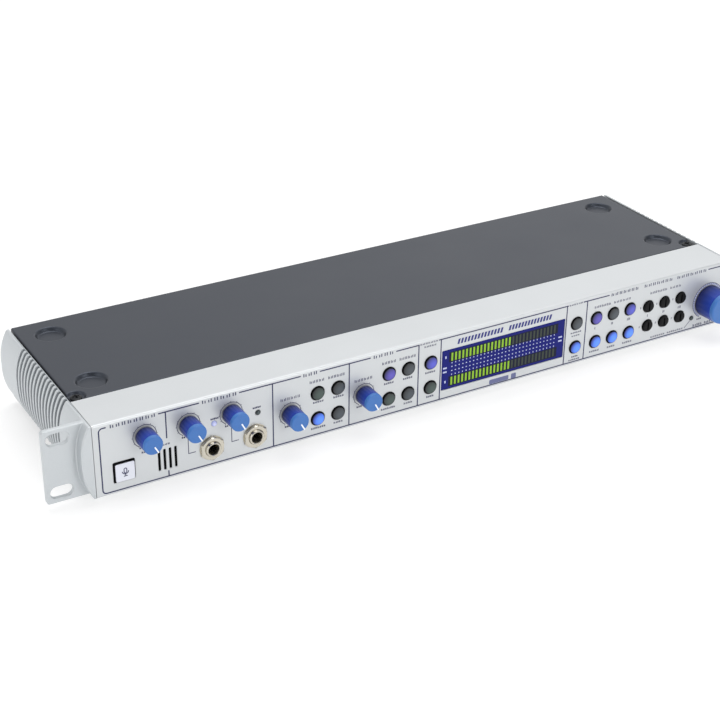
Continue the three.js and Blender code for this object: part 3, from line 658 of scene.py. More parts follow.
# %% [markdown]
# Each end cheek is an aluminium casting: a bulging side with curved cooling fins that flows into a rack
# ear. Seen from above, its outline is the same shape at every height, only fuller or flatter. So the cheek
# is a stack of plans: the reach of the bulge depends on height, the fins' notches depend on depth, and the
# blend into the ear is a quarter circle in each plan. The rack slots are cut afterwards.

# %% End cheeks
CASE_HALF = PANEL_HALF + 0.3
BULGE = {"lip": 1.3, "height": 5.3, "middle": 23.0, "half": 21.5, "fullness": 2.6}
FINS = {"count": 15, "first": 33.5, "pitch": 4.7, "half": 1.3, "depth": 3.6, "wall": 0.35}
EAR = {"edge": 241.3, "front": 6.8, "back": 9.8, "corner": 2.0, "blend": 0.7}
SLOT = {"x": 232.55, "rise": 31.75, "size": (12.8, 7.2)}
CHEEK_EDGE, NOSE, LIP = 0.6, 1.0, 0.3
NEAR_EDGE = np.array([0.06, 0.2, 0.42, 0.7, 1.4])


def shrink(z, radius):
    """How far a corner of this radius draws the outline in at height z: r - sqrt(r^2 - (r - d)^2), where d is
    the distance to the nearer end."""
    near = np.clip(radius - np.minimum(z, HEIGHT - z), 0, radius)
    return radius - np.sqrt(radius ** 2 - near ** 2)


def turn_of(centre_x, centre_y, radius, start, end, steps=6):
    """Columns of points on an arc, one arc per height."""
    t = np.radians(np.linspace(start, end, steps))
    return np.stack([centre_x[:, None] + radius * np.cos(t), centre_y[:, None] + radius * np.sin(t)], axis=-1)


def column(x, y):
    """One point per height."""
    return np.stack(np.broadcast_arrays(x, y), axis=-1)[:, None]


def fin_notches(reach):
    """The side over its fins: reach - depth * g, where g is 0 at a crest and 1 along a groove's floor."""
    across = np.array([-1.0, -0.9, -0.72, -0.4, 0, 0.4, 0.72, 0.9, 1.0]) * FINS["half"]
    g = np.array([0, 0.3, 0.75, 0.96, 1, 0.96, 0.75, 0.3, 0])  # one groove, across its width
    y = FINS["first"] + np.arange(FINS["count"])[:, None] * FINS["pitch"] + across
    x = CASE_HALF + np.maximum(reach[:, None, None] - FINS["depth"] * g, FINS["wall"])
    x, y = np.broadcast_arrays(x, y)
    return np.stack([x, y], axis=-1).reshape(len(reach), -1, 2)


def bulge_reach(z):
    """How far the side stands out: lip + height * (1 - |z - middle| / half to the power of its fullness)."""
    return BULGE["lip"] + BULGE["height"] * (
        1 - np.minimum(np.abs(z - BULGE["middle"]) / BULGE["half"], 1) ** BULGE["fullness"])


def painted_groove_shade(points):
    """1 on the outer surface, falling to 0 down in the grooves between the fins, where it paints shade."""
    x, y, z = points.T
    sunk = CASE_HALF + bulge_reach(z) - 0.4 - np.abs(x)
    finned = (y > FINS["first"] - FINS["half"]) & (y < CASE_DEPTH - 2)
    return np.where(finned, np.clip(1 - sunk / 1.6, 0, 1), 1)


def cheek():
    """One plan for each height, from the front corner round the ear and over the fins to the rear corner."""
    z = np.unique(np.concatenate([np.linspace(0, HEIGHT, 45), NEAR_EDGE, HEIGHT - NEAR_EDGE]))
    inset = shrink(z, CHEEK_EDGE)
    reach = bulge_reach(z) - inset
    side = CASE_HALF + reach
    tip = EAR["edge"] - shrink(z, EAR["corner"]) - LIP
    front, back, blend = EAR["front"] + inset, EAR["back"] - inset, EAR["blend"]
    outline = [
        column(CASE_HALF, inset),
        turn_of(side - NOSE, inset + NOSE, NOSE, -90, 0),
        turn_of(side + blend, front - blend, blend, 180, 90),
        turn_of(tip, front + LIP, LIP, -90, 0, 3),
        turn_of(tip, back - LIP, LIP, 0, 90, 3),
        turn_of(side + blend, back + blend, blend, -90, -180),
        fin_notches(reach),
        turn_of(side - NOSE, CASE_DEPTH - inset - NOSE, NOSE, 0, 90),
        column(CASE_HALF, CASE_DEPTH - inset),
    ]
    plan = np.concatenate(outline, axis=1)
    return loft(np.concatenate([plan, np.broadcast_to(z[:, None, None], (*plan.shape[:2], 1))], axis=-1))


def rack_slots():
    """The cutter for an ear's two slots, flared at both mouths."""
    flare, over = LIP + 2, 2
    mouths = [(-flare, EAR["front"] - over), (0, EAR["front"] + LIP), (0, EAR["back"] - LIP),
              (-flare, EAR["back"] + over)]
    return stack(*[slab((SLOT["x"], HEIGHT / 2 + side * SLOT["rise"] / 2), SLOT["size"], SLOT["size"][1] / 2,
                        mouths, 9) for side in (-1, 1)])


# The cheeks' light values darken the grooves between the fins: painted shade.
right_cheek = combine("cheek", cheek(), rack_slots())
left_cheek = combine("cheek", flipped(cheek()), flipped(rack_slots()))
for side, mesh in (("right", right_cheek), ("left", left_cheek)):
    made = piece(f"{side}_cheek_cast", mesh, cheek_silver, replaces=[f"{side}_end_cheek"], sharp=40,
                 light=painted_groove_shade)
    made.modifiers.new("even_shading", "WEIGHTED_NORMAL").keep_sharp = True
print("cheek:", len(right_cheek.polygons), "faces")

# %% [markdown]
# Knobs are moulded in two colours: a dark blue body with shallow flutes and a brighter cap with a white
# line. Turning a profile makes a knob, and flutes are a small ripple in its radius. The body's colour darkens
# to near black towards the face, which is painted shade where the knob meets the panel. The line lies on the
# cap from near the middle to the rim, and it is drawn where it points when the control is turned fully up.

# %% Knobs
POINTER_ANGLE = math.radians(-62)
FLUTES = 18
SMALL_KNOB = {"tip": 5.5, "length": 11.4, "cap_length": 2.4, "edge": 0.8}
MAIN_KNOB = {"tip": 10.1, "length": 15.9, "cap_length": 3.2, "edge": 1.1}
SHAFT, SHAFT_FRONT, SHAFT_END = 2.9, -0.9, 5.2


def fluted(radius, sides, depth=0.1):
    """Radius r - depth * (0.5 + 0.5 cos(n t)), so n shallow hollows run down the side."""
    return radius - depth * (0.5 + 0.5 * np.cos(FLUTES * circle(sides)))


def knob(name, tip, length, cap_length, edge):
    """Body, shaft, cap and line. The side tapers from the CAD's base radius to the tip, and the cap's edge is
    a quarter circle."""
    low, high = span(name)
    at, front, base = face_at(name), low[1], (high[0] - low[0]) / 2
    sides = 8 * FLUTES
    seam = front + cap_length
    waist = tip + (base - tip) * cap_length / length
    body = turned([(base - 0.5, -0.6), (base - 0.1, -0.75), (fluted(base, sides), -1.1),
                   (fluted(waist, sides), seam + 0.25), (waist - 0.3, seam), (waist - 2, seam)], at, sides)
    bend = np.radians(np.linspace(0, 90, 6))
    rim = [(tip - edge + edge * np.cos(t), front + 0.05 + edge - edge * np.sin(t)) for t in bend]
    cap = turned([(waist - 2.2, seam - 0.02), (waist - 0.25, seam - 0.02), (waist - 0.02, seam - 0.25)] + rim
                 + [(tip - edge - 0.5, front + 0.08), (0.6, front + 0.16)], at, 72)
    direction = np.array([math.cos(POINTER_ANGLE), math.sin(POINTER_ANGLE)])
    path = [at + direction * reach for reach in (tip * 0.2, tip - 0.02)]
    line = stroke(path, 0.14 * tip, front, front + edge + 0.8)
    shaft = turned([(SHAFT, SHAFT_FRONT), (SHAFT, SHAFT_END)], at, 32)
    # The body's light value falls from 1 at the cap to 0 at the face, so its colour darkens there as painted
    # shade.
    piece(f"{name}_body", stack(body, shaft), knob_body, name, replaces=[name],
          light=lambda points: np.clip(-points[:, 1] / (length - cap_length), 0, 1))
    piece(f"{name}_cap", cap, knob_cap, name)
    piece(f"{name}_line", line, pointer_white, name)


def stroke(path, width, front=-0.02, back=0.02, closed=False):
    """A line of constant width: each point moves half a width along its own normal, to both sides, and the
    strip is given thickness along Y."""
    path = np.asarray(path, float)
    ahead = np.roll(path, -1, 0) - path
    behind = path - np.roll(path, 1, 0)
    if not closed:
        ahead[-1], behind[0] = behind[-1], ahead[0]
    ahead /= np.linalg.norm(ahead, axis=1, keepdims=True)
    behind /= np.linalg.norm(behind, axis=1, keepdims=True)
    along = ahead + behind
    along /= np.linalg.norm(along, axis=1, keepdims=True)
    mitre = width / 2 / (along * ahead).sum(axis=1, keepdims=True)
    beside = np.column_stack([-along[:, 1], along[:, 0]]) * mitre
    corners = [(path + beside, front), (path + beside, back), (path - beside, back), (path - beside, front)]
    ring = [np.column_stack([flat[:, 0], np.full(len(flat), y), flat[:, 1]]) for flat, y in corners]
    return loft(np.stack(ring, axis=1), closed)


def arc(at, radius, start, end, steps=40):
    """Points along an arc, angles in degrees anticlockwise from the right."""
    angle = np.radians(np.linspace(start, end, steps))
    return np.column_stack([at[0] + radius * np.cos(angle), at[1] + radius * np.sin(angle)])


for name in SMALL_KNOBS:
    knob(name, **SMALL_KNOB)
knob("main_knob", **MAIN_KNOB)
print("knobs:", len(SMALL_KNOBS) + 1)

# %% [markdown]
# Each round key is a black cap with a translucent domed lens, in a black sleeve, and some are lit. A lit
# lens glows brightest a little below its middle, where the lamp sits, and fades to its rim. The same fall-off
# sits a little right of the middle too and darkens each lens's colour towards its upper-left rim, which is
# painted shade; on the unlit keys the whole fall-off is painted shade. It is stored on the mesh as one number
# per point, so eighteen lenses can share five finishes. The collar and stem behind the face keep the key in
# place.

# %% Keys
KEY, KEY_LENS, KEY_PROUD = 3.9, 3.7, 1.2
COLLAR, COLLAR_FRONT, COLLAR_BACK = 5.1, 3.4, 4.4
STEM, STEM_END = 1.5, 7.1
LENS_SPOT, LENS_REACH = (1.2, -1.0), 4.9
SLEEVE_WALL = 0.25
LIT_BLUE = ["cue_source_3_button", "meter_hold_button", "mute_button", "dim_button", "mono_button"]
LIT_INDIGO = ["digital_input_button", "speaker_3_button"]
LIT_VIOLET = ["main_source_1_button", "speaker_1_button"]
GREENISH = ["cue_source_1_button", "main_source_3_button", "digital_clock_button"]
KEY_FINISH = dict.fromkeys(BUTTONS, key_grey)
for names, coat in ((LIT_BLUE, key_blue), (LIT_INDIGO, key_indigo), (LIT_VIOLET, key_purple),
                    (GREENISH, key_green)):
    KEY_FINISH.update(dict.fromkeys(names, coat))


def spot(at, reach):
    """A round pool of light that fades from its middle: 1 - (r / reach)^2 held above 0."""
    return lambda points: np.clip(1 - ((points[:, [0, 2]] - at) ** 2).sum(axis=1) / reach ** 2, 0, 1)


def key_profile():
    """The black cap: a shallow dish for the lens, its rim and wall, then the collar and stem."""
    front = -KEY_PROUD
    rim = [(3.5, front + 0.6), (KEY_LENS, front + 0.3), (KEY_LENS + 0.05, front + 0.25),
           (KEY - 0.1, front + 0.25), (KEY, front + 0.35)]
    return rim + [(KEY, COLLAR_FRONT), (COLLAR, COLLAR_FRONT), (COLLAR, COLLAR_BACK), (STEM, COLLAR_BACK),
                  (STEM, STEM_END)]


def key_lens():
    """A dome that falls by 0.25 * (r / R)^2 to its rim, and its short wall."""
    front, wall = -KEY_PROUD, KEY_LENS - 0.04
    dome = [(r, front + 0.25 * (r / KEY_LENS) ** 2) for r in (0.3, 0.9, 1.5, 2.1, 2.7, 3.2, 3.5)]
    return dome + [(wall, front + 0.32), (wall, front + 0.55), (3.4, front + 0.62)]


def sleeves(names, outer):
    """Thin tubes that line the controls' holes, from just behind the face to its back."""
    inner, front, back = outer - SLEEVE_WALL, 0.12, FACE - 0.05
    return stack(*[turned([(outer, front), (outer, back), (inner, back), (inner, front)], face_at(name), 48,
                          closed=True) for name in names])


for name in BUTTONS:
    at = face_at(name)
    piece(f"{name}_cap", turned(key_profile(), at, 40), black_plastic, name, [name])
    piece(f"{name}_lens", turned(key_lens(), at, 40), KEY_FINISH[name], name,
          light=spot(at + LENS_SPOT, LENS_REACH))
piece("key_sleeves", sleeves(BUTTONS, KEY_HOLE), black_plastic)
print("keys:", len(BUTTONS), "of which lit", len(LIT_BLUE + LIT_INDIGO + LIT_VIOLET))

# %% [markdown]
# The talkback key is a white rounded square in a black-lined opening. Its legend is drawn as a small
# microphone instead of letters. Next to it the microphone listens through four slots, with black felt
# behind them, and black blocks fill the slots themselves as painted shade.

# %% Talkback key and grille
TALK_CAP = 11.4
# The white face sits 0.2 right of and 0.2 below the key's middle, so more of the black body shows along the
# top and left: painted shade.
TALK_FACE_AT = TALK_AT + (0.2, -0.2)
cap_front = span("talkback_button")[0][1]
talk_cap = slab(TALK_AT, (TALK_CAP, TALK_CAP), 1.1,
                [(1.2, cap_front + 0.3), (0.2, cap_front + 0.3), (0, cap_front + 0.5), (0, 3.8)], 8)
talk_face = slab(TALK_FACE_AT, (TALK_CAP - 0.5, TALK_CAP - 0.5), 0.9,
                 [(2.5, cap_front + 0.02), (0.9, cap_front), (0.35, cap_front + 0.05),
                  (0.12, cap_front + 0.16), (0, cap_front + 0.34)], 8)
talk_collar = slab(TALK_AT, (TALK_OPENING + 1.4,) * 2, 0.6, [(0, COLLAR_FRONT), (0, COLLAR_BACK)])
talk_stem = turned([(STEM, COLLAR_BACK - 0.1), (STEM, STEM_END)], TALK_AT, 24)
piece("talkback_key_body", stack(talk_cap, talk_collar, talk_stem), black_plastic, "talkback_button",
      ["talkback_button"])
piece("talkback_key_face", talk_face, white_plastic, "talkback_button")

capsule = rounded(1.5, 3.0, 0.74) + (0, 0.9)
cradle = arc((0, 0.6), 1.75, 180, 360, 14)
microphone = (capsule, cradle, [(0, -1.2), (0, -2.3)], [(-1.1, -2.35), (1.1, -2.35)])
symbol = [stroke(path + TALK_FACE_AT, 0.5, cap_front - 0.02, cap_front + 0.08, closed=path is capsule)
          for path in microphone]
piece("talkback_key_symbol", stack(*symbol), ink, "talkback_button")
outer, inner = [slab(TALK_AT, (TALK_OPENING - cut,) * 2, 0.8 - cut / 4, [(0, 0.12 - over), (0, 2.95 + over)])
                for cut, over in ((0, 0), (0.3, 0.5))]
piece("talkback_key_sleeve", combine("frame", outer, inner), black_plastic)
felt_pad = slab((-175.1, GRILLE_Z), (13.6, 14.6), 1, [(0, FACE + 0.02), (0, FACE + 0.26)])
# Black blocks that fill the grille slots from just behind the face: painted shade in the slots.
slot_shade_fill = [slab((x, GRILLE_Z), (1.42, 12.76), 0.58, [(0, 0.4), (0, FACE + 0.1)]) for x in GRILLE_SLOTS]
piece("grille_felt_and_slot_shade", stack(felt_pad, *slot_shade_fill), felt)

# %% [markdown]
# Six trimmers set the speakers' levels with a screwdriver. They are black rotors with a slot, a little
# proud of black sleeves. Three round lights are domed lenses: one is on.

# %% Trimmers and lights
TRIM, TRIM_FRONT, TRIM_BACK = 3.6, -1.4, 4.4
TRIM_SLOT = (0.9, 5.6)
TRIM_PROFILE = [(0.4, TRIM_FRONT), (TRIM - 0.35, TRIM_FRONT), (TRIM - 0.1, TRIM_FRONT + 0.1),
                (TRIM, TRIM_FRONT + 0.35), (TRIM, TRIM_BACK), (STEM, TRIM_BACK), (STEM, SHAFT_END)]
for name in TRIMMERS:
    at = face_at(name)
    driver = slab(at, TRIM_SLOT, 0.1, [(-0.4, TRIM_FRONT - 0.4), (0, TRIM_FRONT + 0.1), (0, -0.1)], 3)
    piece(f"{name}_rotor", combine(name, turned(TRIM_PROFILE, at, 40), driver), black_plastic, name, [name])
piece("trim_sleeves", sleeves(TRIMMERS, TRIM_HOLE), black_plastic)


def lens(radius):
    """A dome from its tip to its rim, and the barrel behind it."""
    t = np.radians(np.linspace(8, 90, 9))
    return [(radius * np.sin(a), -radius * 0.75 * np.cos(a)) for a in t] + [(radius, 2.8)]


# The dark lights' lenses fade to a darker rim and keep a faint glow: painted shade and painted light.
for name, at in LIGHTS.items():
    coat = lens_lit if name == "phones_1_light" else lens_dark
    piece(name, turned(lens(LIGHT_HOLE - 0.12), at, 28), coat, light=spot(at, 2.0))

# %% [markdown]
# Headphone sockets, seen from outside: a nickel nut with its corners turned off, a threaded bushing, and
# the dark bore. All three are turned profiles, and only the nut's radius depends on the angle. The plug's
# contacts show as thin springs inside.

# %% Headphone sockets
PLUG = 3.25


def thread(radius, y0, y1, pitch=0.6, depth=0.14):
    """A saw-tooth outline that stands for a screw thread, as (radius, y)."""
    turns = int(round((y1 - y0) / pitch))
    y = y0 + np.arange(2 * turns + 1) * pitch / 2
    return [(radius - depth * (i % 2), level) for i, level in enumerate(y)]


def nut(flats, front, back, at, bore):
    """A hexagon whose corners are cut by a cone at its outer end, bored through."""
    hexed, turned_off = hexagon(flats), flats / 2
    shape = [(bore, back), (hexed, back), (hexed, front + 0.7),
             (np.minimum(hexed, turned_off + 0.35), front + 0.3),
             (np.minimum(hexed, turned_off - 0.1), front), (bore + 0.3, front), (bore, front + 0.3)]
    return turned(shape, at, 48, closed=True)


def washer(at, radius):
    """A thin ring on the panel."""
    return turned([(radius, -0.32), (radius, -0.02), (4.5, -0.02), (4.5, -0.32)], at, 48, closed=True)


def bushing(nose, end, at):
    """A threaded tube with a rounded nose."""
    outside = thread(4.45, nose + 0.6, nose + 3.0)
    return turned([(PLUG, nose + 0.35), (PLUG + 0.3, nose), (4.0, nose), (4.4, nose + 0.4)] + outside
                  + [(4.45, end), (PLUG, end)], at, 48, closed=True)


def socket_body(at, front, back):
    """The moulded body behind the panel, bored for the plug."""
    body = slab(at, (13, 13), 0.8, [(0.3, front), (0, front + 0.3), (0, back - 0.3), (0.3, back)], 3)
    return body, turned([(PLUG, front - 1), (PLUG, back - 2)], at, 32)


def springs(at):
    """Three contact springs round the bore, as thin blades some way down it."""
    angle = circle(3) + 0.5
    centres = np.column_stack([at[0] + 2.9 * np.cos(angle), np.full(3, 9), at[1] + 2.9 * np.sin(angle)])
    return blocks(centres, (0.9, 5.0, 0.9))


for name in PHONES_JACKS:
    at = face_at(name)
    metal = stack(nut(13.2, -1.8, -0.3, at, 4.4), washer(at, 7.3), bushing(-3.1, 4.3, at))
    piece(f"{name}_nut_and_bushing", metal, nickel, replaces=[name])
    whole, bore = socket_body(at, 3.3, 25.3)
    piece(f"{name}_body", combine(name, whole, bore), black_plastic)
    piece(f"{name}_springs", springs(at), gold)

# %% [markdown]
# The meter is a blue glossy window. Behind it are two dark bars of thirty segments, of which seventeen are
# lit, and between the bars is a white scale. Each segment is a tiny block, so one call places a whole row.

# %% Meter
SEGMENTS, LIT = 30, 17
SEGMENT_X = np.linspace(6.05, 80.0, SEGMENTS)
SEGMENT_WIDTH = 1.25
BARS = ((28.1, 6.0), (12.2, 6.0))  # middle and height
glass_y = window_low[1] - 0.05
centre, size = WINDOW
glass = slab(centre, size - 0.3, 0.5, [(0.15, glass_y), (0, glass_y + 0.15), (0, FACE + 0.3)])
rim = slab(centre, size + 3, 0.5, [(0, FACE + 0.3), (0, FACE + 1.3)])
piece("meter_window_glass", stack(glass, rim), window_blue, replaces=["meter_window"])
bar_depth = [(0, glass_y - 0.03), (0, glass_y + 0.2)]
piece("meter_bars", stack(*[slab((43.2, z), (78.6, height + 0.6), 0.3, bar_depth) for z, height in BARS]),
      bar_black)


def row(x, z, width, height, y=glass_y - 0.02, thick=0.05):
    """Equal blocks side by side at one height."""
    x = np.asarray(x, float)
    return blocks(np.column_stack([x, np.full(len(x), y), np.full(len(x), z)]), (width, thick, height))


def segments(x):
    """The light bars at these places, in both rows."""
    return stack(*[row(x, z, SEGMENT_WIDTH, height - 0.7, glass_y - 0.04, 0.06) for z, height in BARS])


def bar_light(points):
    """Brighter towards the middle of each bar's height."""
    z = np.array([z for z, _ in BARS])
    return 1 - np.abs(points[:, 2:] - z).min(axis=1) / 4


piece("meter_segments_lit", segments(SEGMENT_X[:LIT]), segment_lit, light=bar_light)
piece("meter_segments_dark", segments(SEGMENT_X[LIT:]), segment_dim)
SCALE_ROWS = ((SEGMENT_X, (24.2, 16.5), 0.5, 0.9), (SEGMENT_X, (21.7, 19.0), 0.8, 0.6),
              ((1.2, 84.6), (21.6, 19.0), 2.6, 1.0), ((1.6,), (28.6, 12.4), 0.9, 1.6))
scale = [row(x, z, width, height) for x, levels, width, height in SCALE_ROWS for z in levels]
piece("meter_scale", stack(*scale), white_ink)
print("meter:", SEGMENTS, "segments per bar,", LIT, "lit")

# %% [markdown]
# The print on the face is thin navy ink: a frame round the whole panel, lines between the sections, rings
# round the knobs, and captions. The captions spell nothing. Each character is a pair of upright strokes
# whose heights follow a short repeating pattern, which reads as small type from any distance.

# %% Print on the face
LEFT, RIGHT, BOTTOM, TOP = -212.7, 212.7, 1.9, 41.5
LINE, THIN_LINE = 0.75, 0.4
TITLES = [(-207.0, -180.4, 8), (-154.6, -132.9, 6), (-93.2, -83.4, 3), (-48.3, -34.0, 4), (121.2, 143.2, 7),
          (147.1, 170.4, 7), (173.3, 198.3, 7)]
SMALL_TITLES = [(-16.7, -4.2, 7), (89.6, 99.9, 6)]
BREAKS = [(-208.5, -179.2), (-155.6, -131.9), (-94.2, -82.2), (-49.5, -32.7), (-17.0, -3.8), (89.2, 100.4),
          (120.2, 199.4)]
DIVIDERS = [(-175.1, 25.5, TOP), (-174.9, BOTTOM, 5.4)] + [
    (x, BOTTOM, TOP) for x in (-111.7, -63.4, -17.4, -2.2, 88.3, 103.5)]


def words(x0, x1, z, height, count, weight=0.34):
    """Greeked type between x0 and x1: count characters, each a pair of uprights, every third one lower."""
    i = np.repeat(np.arange(count), 2)
    side = np.tile([-1, 1], count)
    pitch = (x1 - x0) / count
    tall = np.where((i + (side > 0)) % 3 == 1, 0.8, 1.0) * height
    x = x0 + pitch * (i + 0.5 + 0.2 * side)
    centres = np.column_stack([x, np.zeros(2 * count), z - (height - tall) / 2])
    return blocks(centres, np.column_stack([np.full(2 * count, weight), np.full(2 * count, 0.05), tall]))


def frame_lines():
    """The rounded frame, open where the titles are, and the lines between the sections."""
    corner = 2.2
    left = np.concatenate([arc((LEFT + corner, TOP - corner), corner, 90, 180, 8),
                           arc((LEFT + corner, BOTTOM + corner), corner, 180, 270, 8)])
    right = np.concatenate([arc((RIGHT - corner, BOTTOM + corner), corner, 270, 360, 8),
                            arc((RIGHT - corner, TOP - corner), corner, 0, 90, 8)])
    edges = [LEFT + corner] + [x for pair in BREAKS for x in pair] + [RIGHT - corner]
    runs = [stroke([(a, TOP), (b, TOP)], LINE) for a, b in zip(edges[::2], edges[1::2])]
    return stack(stroke(np.concatenate([left, right]), LINE), *runs,
                 *[stroke([(x, low), (x, high)], LINE) for x, low, high in DIVIDERS])


CAPTIONS = [  # from x, to x, z, height, characters
    (-189.9, -186.3, 20.8, 1.3, 3), (-178.0, -173.4, 22.0, 1.2, 3), (-149.4, -144.5, 29.6, 1.2, 5),
    (-124.1, -119.1, 29.5, 1.2, 5), (-166.6, -164.4, 23.1, 1.2, 2), (-141.0, -138.8, 22.9, 1.2, 2),
    (-107.3, -94.5, 29.6, 1.9, 6), (-104.6, -101.4, 12.2, 1.3, 3), (-89.0, -79.2, 36.0, 1.9, 5),
    (-77.2, -66.2, 36.0, 1.9, 6), (-86.8, -79.8, 22.6, 1.4, 5), (-73.8, -66.9, 22.6, 1.4, 5),
    (-88.1, -78.6, 6.1, 1.4, 7), (-73.6, -67.4, 6.1, 1.4, 4), (-60.2, -48.1, 29.1, 1.9, 6),
    (-58.6, -54.9, 12.1, 1.3, 3), (-42.2, -32.6, 35.7, 1.9, 5), (-30.6, -19.3, 35.7, 1.9, 6),
    (-40.6, -33.9, 22.2, 1.4, 5), (-27.8, -21.3, 22.2, 1.4, 5), (-42.3, -32.6, 5.8, 1.4, 7),
    (-27.0, -20.9, 5.8, 1.4, 4), (-12.8, -5.6, 22.0, 1.4, 5), (-11.5, -6.2, 5.9, 1.4, 4),
    (-13.9, -5.4, 39.3, 1.3, 5), (92.2, 100.4, 22.1, 1.1, 6), (93.0, 99.4, 19.9, 1.1, 4),
    (94.2, 99.2, 5.4, 1.1, 4), (92.1, 100.5, 3.4, 1.1, 6), (109.1, 122.0, 35.7, 1.7, 7),
    (124.0, 137.6, 35.7, 1.7, 6), (152.7, 166.6, 35.4, 1.8, 7), (168.6, 177.9, 35.4, 1.8, 4),
    (107.8, 115.6, 5.4, 1.4, 5), (121.7, 128.0, 5.3, 1.4, 4), (133.8, 141.4, 5.2, 1.4, 5),
    (156.7, 168.4, 3.7, 1.3, 7), (170.2, 183.4, 3.7, 1.3, 8), (194.3, 198.2, 7.4, 1.2, 3),
]
MARKS = {1: [(110.9, 21.3), (152.4, 20.0)], 2: [(124.2, 21.5), (165.4, 20.0)],
         3: [(137.2, 21.3), (178.3, 20.0)]}
SIDE_MARKS = [(146.3, 26.6), (159.2, 26.7), (172.2, 26.8), (146.6, 13.3), (159.6, 13.4), (172.6, 13.4)]


def knob_scale(at, radius, tick, dots=11):
    """An open ring of 300 degrees with dots outside it."""
    x, z = arc(at, radius + tick, 240, -60, dots).T
    where = np.column_stack([x, np.zeros(dots), z])
    return stack(stroke(arc(at, radius, -60, 240), THIN_LINE), blocks(where, (THIN_LINE, 0.05, THIN_LINE)))


def counted(number, at):
    """One, two or three short uprights, in place of a letter."""
    x = (np.arange(number) - (number - 1) / 2) * 0.9
    return row(at[0] + x, at[1], 0.42, 1.7, 0.0)


printed = [frame_lines()]
printed += [words(a, b, TOP - 0.1, 2.0, n, 0.62) for a, b, n in TITLES]
printed += [words(a, b, TOP, 1.1, n, 0.4) for a, b, n in SMALL_TITLES]
printed += [words(a, b, z, 0.9 * h, n, 0.42) for a, b, z, h, n in CAPTIONS]
printed += [knob_scale(face_at(name), 6.7, 0.5) for name in SMALL_KNOBS]
printed += [counted(n, at) for n, places in MARKS.items() for at in places]
printed += [row([x], z, 0.42, 1.5, 0.0) for x, z in SIDE_MARKS]
printed += [stroke([(x, 22), (x, 12.3), (x + 4.2, 12.3)], 0.45) for x in (-162.9, -137.1)]
printed += [stroke([(184.4, 3.4), (188.7, 7.7)], 0.4), row([-190.4], 23.6, 0.8, 0.8, 0.0)]
printed += [words(191.4, 199.4, 3.5, 1.8, 4, 0.5), words(201.0, 211.0, 3.5, 1.8, 5, 0.5)]
piece("face_print", stack(*printed), ink)
TITLE_BARS, TITLE_Z, TITLE_BAR, TITLE_LEAN = 14, 37.3, (1.45, 0.05, 3.3), 0.25
title = [blocks(np.linspace((x0, 0, TITLE_Z), (x1, 0, TITLE_Z), TITLE_BARS), TITLE_BAR, TITLE_LEAN)
         for x0, x1 in ((10.2, 40.4), (46.4, 75.9))]
piece("face_title_bars", stack(*title), title_ink)

# %% [markdown]
# The main knob has a white ring with dark ticks round it and a thin line outside. Below the meter, a plain
# bar and a small square stand where a maker would put its mark.

# %% Main scale and plain mark
MAIN_AT = face_at("main_knob")
BAND, BAND_WIDTH, OUTER_LINE, TICK_ENDS = 11.3, 1.2, 12.0, (11.0, 11.7)
ticks = np.stack([arc(MAIN_AT, radius, 238, -58, 37) for radius in TICK_ENDS], axis=1)
piece("main_scale_band", stroke(arc(MAIN_AT, BAND, -62, 242, 80), BAND_WIDTH, -0.015, 0.02), white_ink)
piece("main_scale_lines", stack(stroke(arc(MAIN_AT, OUTER_LINE, -62, 242, 80), 0.36, -0.03),
                                *[stroke(path, 0.3, -0.03) for path in ticks]), ink)
mark_ink = finish("pale_navy_ink", "window", (92, 98, 140), (112, 118, 158), 0.3, 8, 0.55, 0.1)
piece("plain_mark", stack(slab((40.3, 3.9), (14.0, 3.0), 0.6, [(0, -0.02), (0, 0.02)]),
                          slab((51.0, 3.9), (3.6, 3.6), 0.8, [(0, -0.02), (0, 0.02)])), mark_ink)

# %% [markdown]
# Screws are everywhere on the back and underneath. One turned profile serves them all: from the floor of
# the cross recess, up over a shallow dome, to the seat. It is drawn facing the front about the origin and
# then turned to face wherever the screw goes. The feet are rubber cones round a recessed steel screw.

# %% Screws and feet
SCREW_SIDES = 32


def screw(radius, height, shank=0.0, bore=1.3):
    """A pan head that stands on y = 0 and faces -Y. Its height falls off as h * (1 - 0.4 * (r / R)^2)."""
    reach = 0.62 * radius
    recess = [(cross(0.12 * radius, 0.5 * reach, SCREW_SIDES), -0.35 * height),
              (cross(0.2 * radius, reach, SCREW_SIDES), -height * 0.98)]
    dome = [(r * radius, -height * (1 - 0.4 * r ** 2)) for r in (0.68, 0.8, 0.9, 0.97)]
    seat = [(radius, -height * 0.42), (radius, 0)] + ([(bore, 0), (bore, shank)] if shank else [])
    return turned(recess + dome + seat, (0, 0), SCREW_SIDES)


for name in COVER_SCREWS:
    low, high = span(name)
    x, y = middle(name)[:2]
    seat = HEIGHT - DIMPLE_SHAPE[2] + 0.02
    shape = screw((high[0] - low[0]) / 2, high[2] - seat, seat - low[2], 1.5)
    piece(f"{name}_black", facing("up", shape, (x, y, seat)), black_screw, replaces=[name])

FOOT_PROFILE = [(6.9, 0), (7.0, -0.5), (6.3, -3.3), (6.0, -3.8), (5.5, -4.0), (4.0, -4.0), (3.6, -3.8),
                (3.4, -1.5), (1.6, -1.4), (1.6, 0)]
foot = turned(FOOT_PROFILE, (0, 0), 48, closed=True)
for name in FEET:
    x, y = middle(name)[:2]
    piece(f"{name}_rubber", facing("down", foot, (x, y, 0)), rubber, replaces=[name])
    piece(f"{name}_screw", facing("down", screw(2.9, 1.2), (x, y, -1.42)), steel)
print("feet:", len(FEET))

# %% [markdown]
# The bottom is one folded sheet, like the cover but shallower, so it is the same idea: a bent path with a
# thickness, carried from front to back. Its floor runs on under the rear panel while its walls stop short
# of it. Rows of slots let air in below the boards.

# %% Bottom tray
TRAY_LOW, TRAY_HIGH = span("bottom_tray")
TRAY_BEND, TRAY_WALL_GAP, VENT_WIDTH = 2.0, 1.8, 2.4


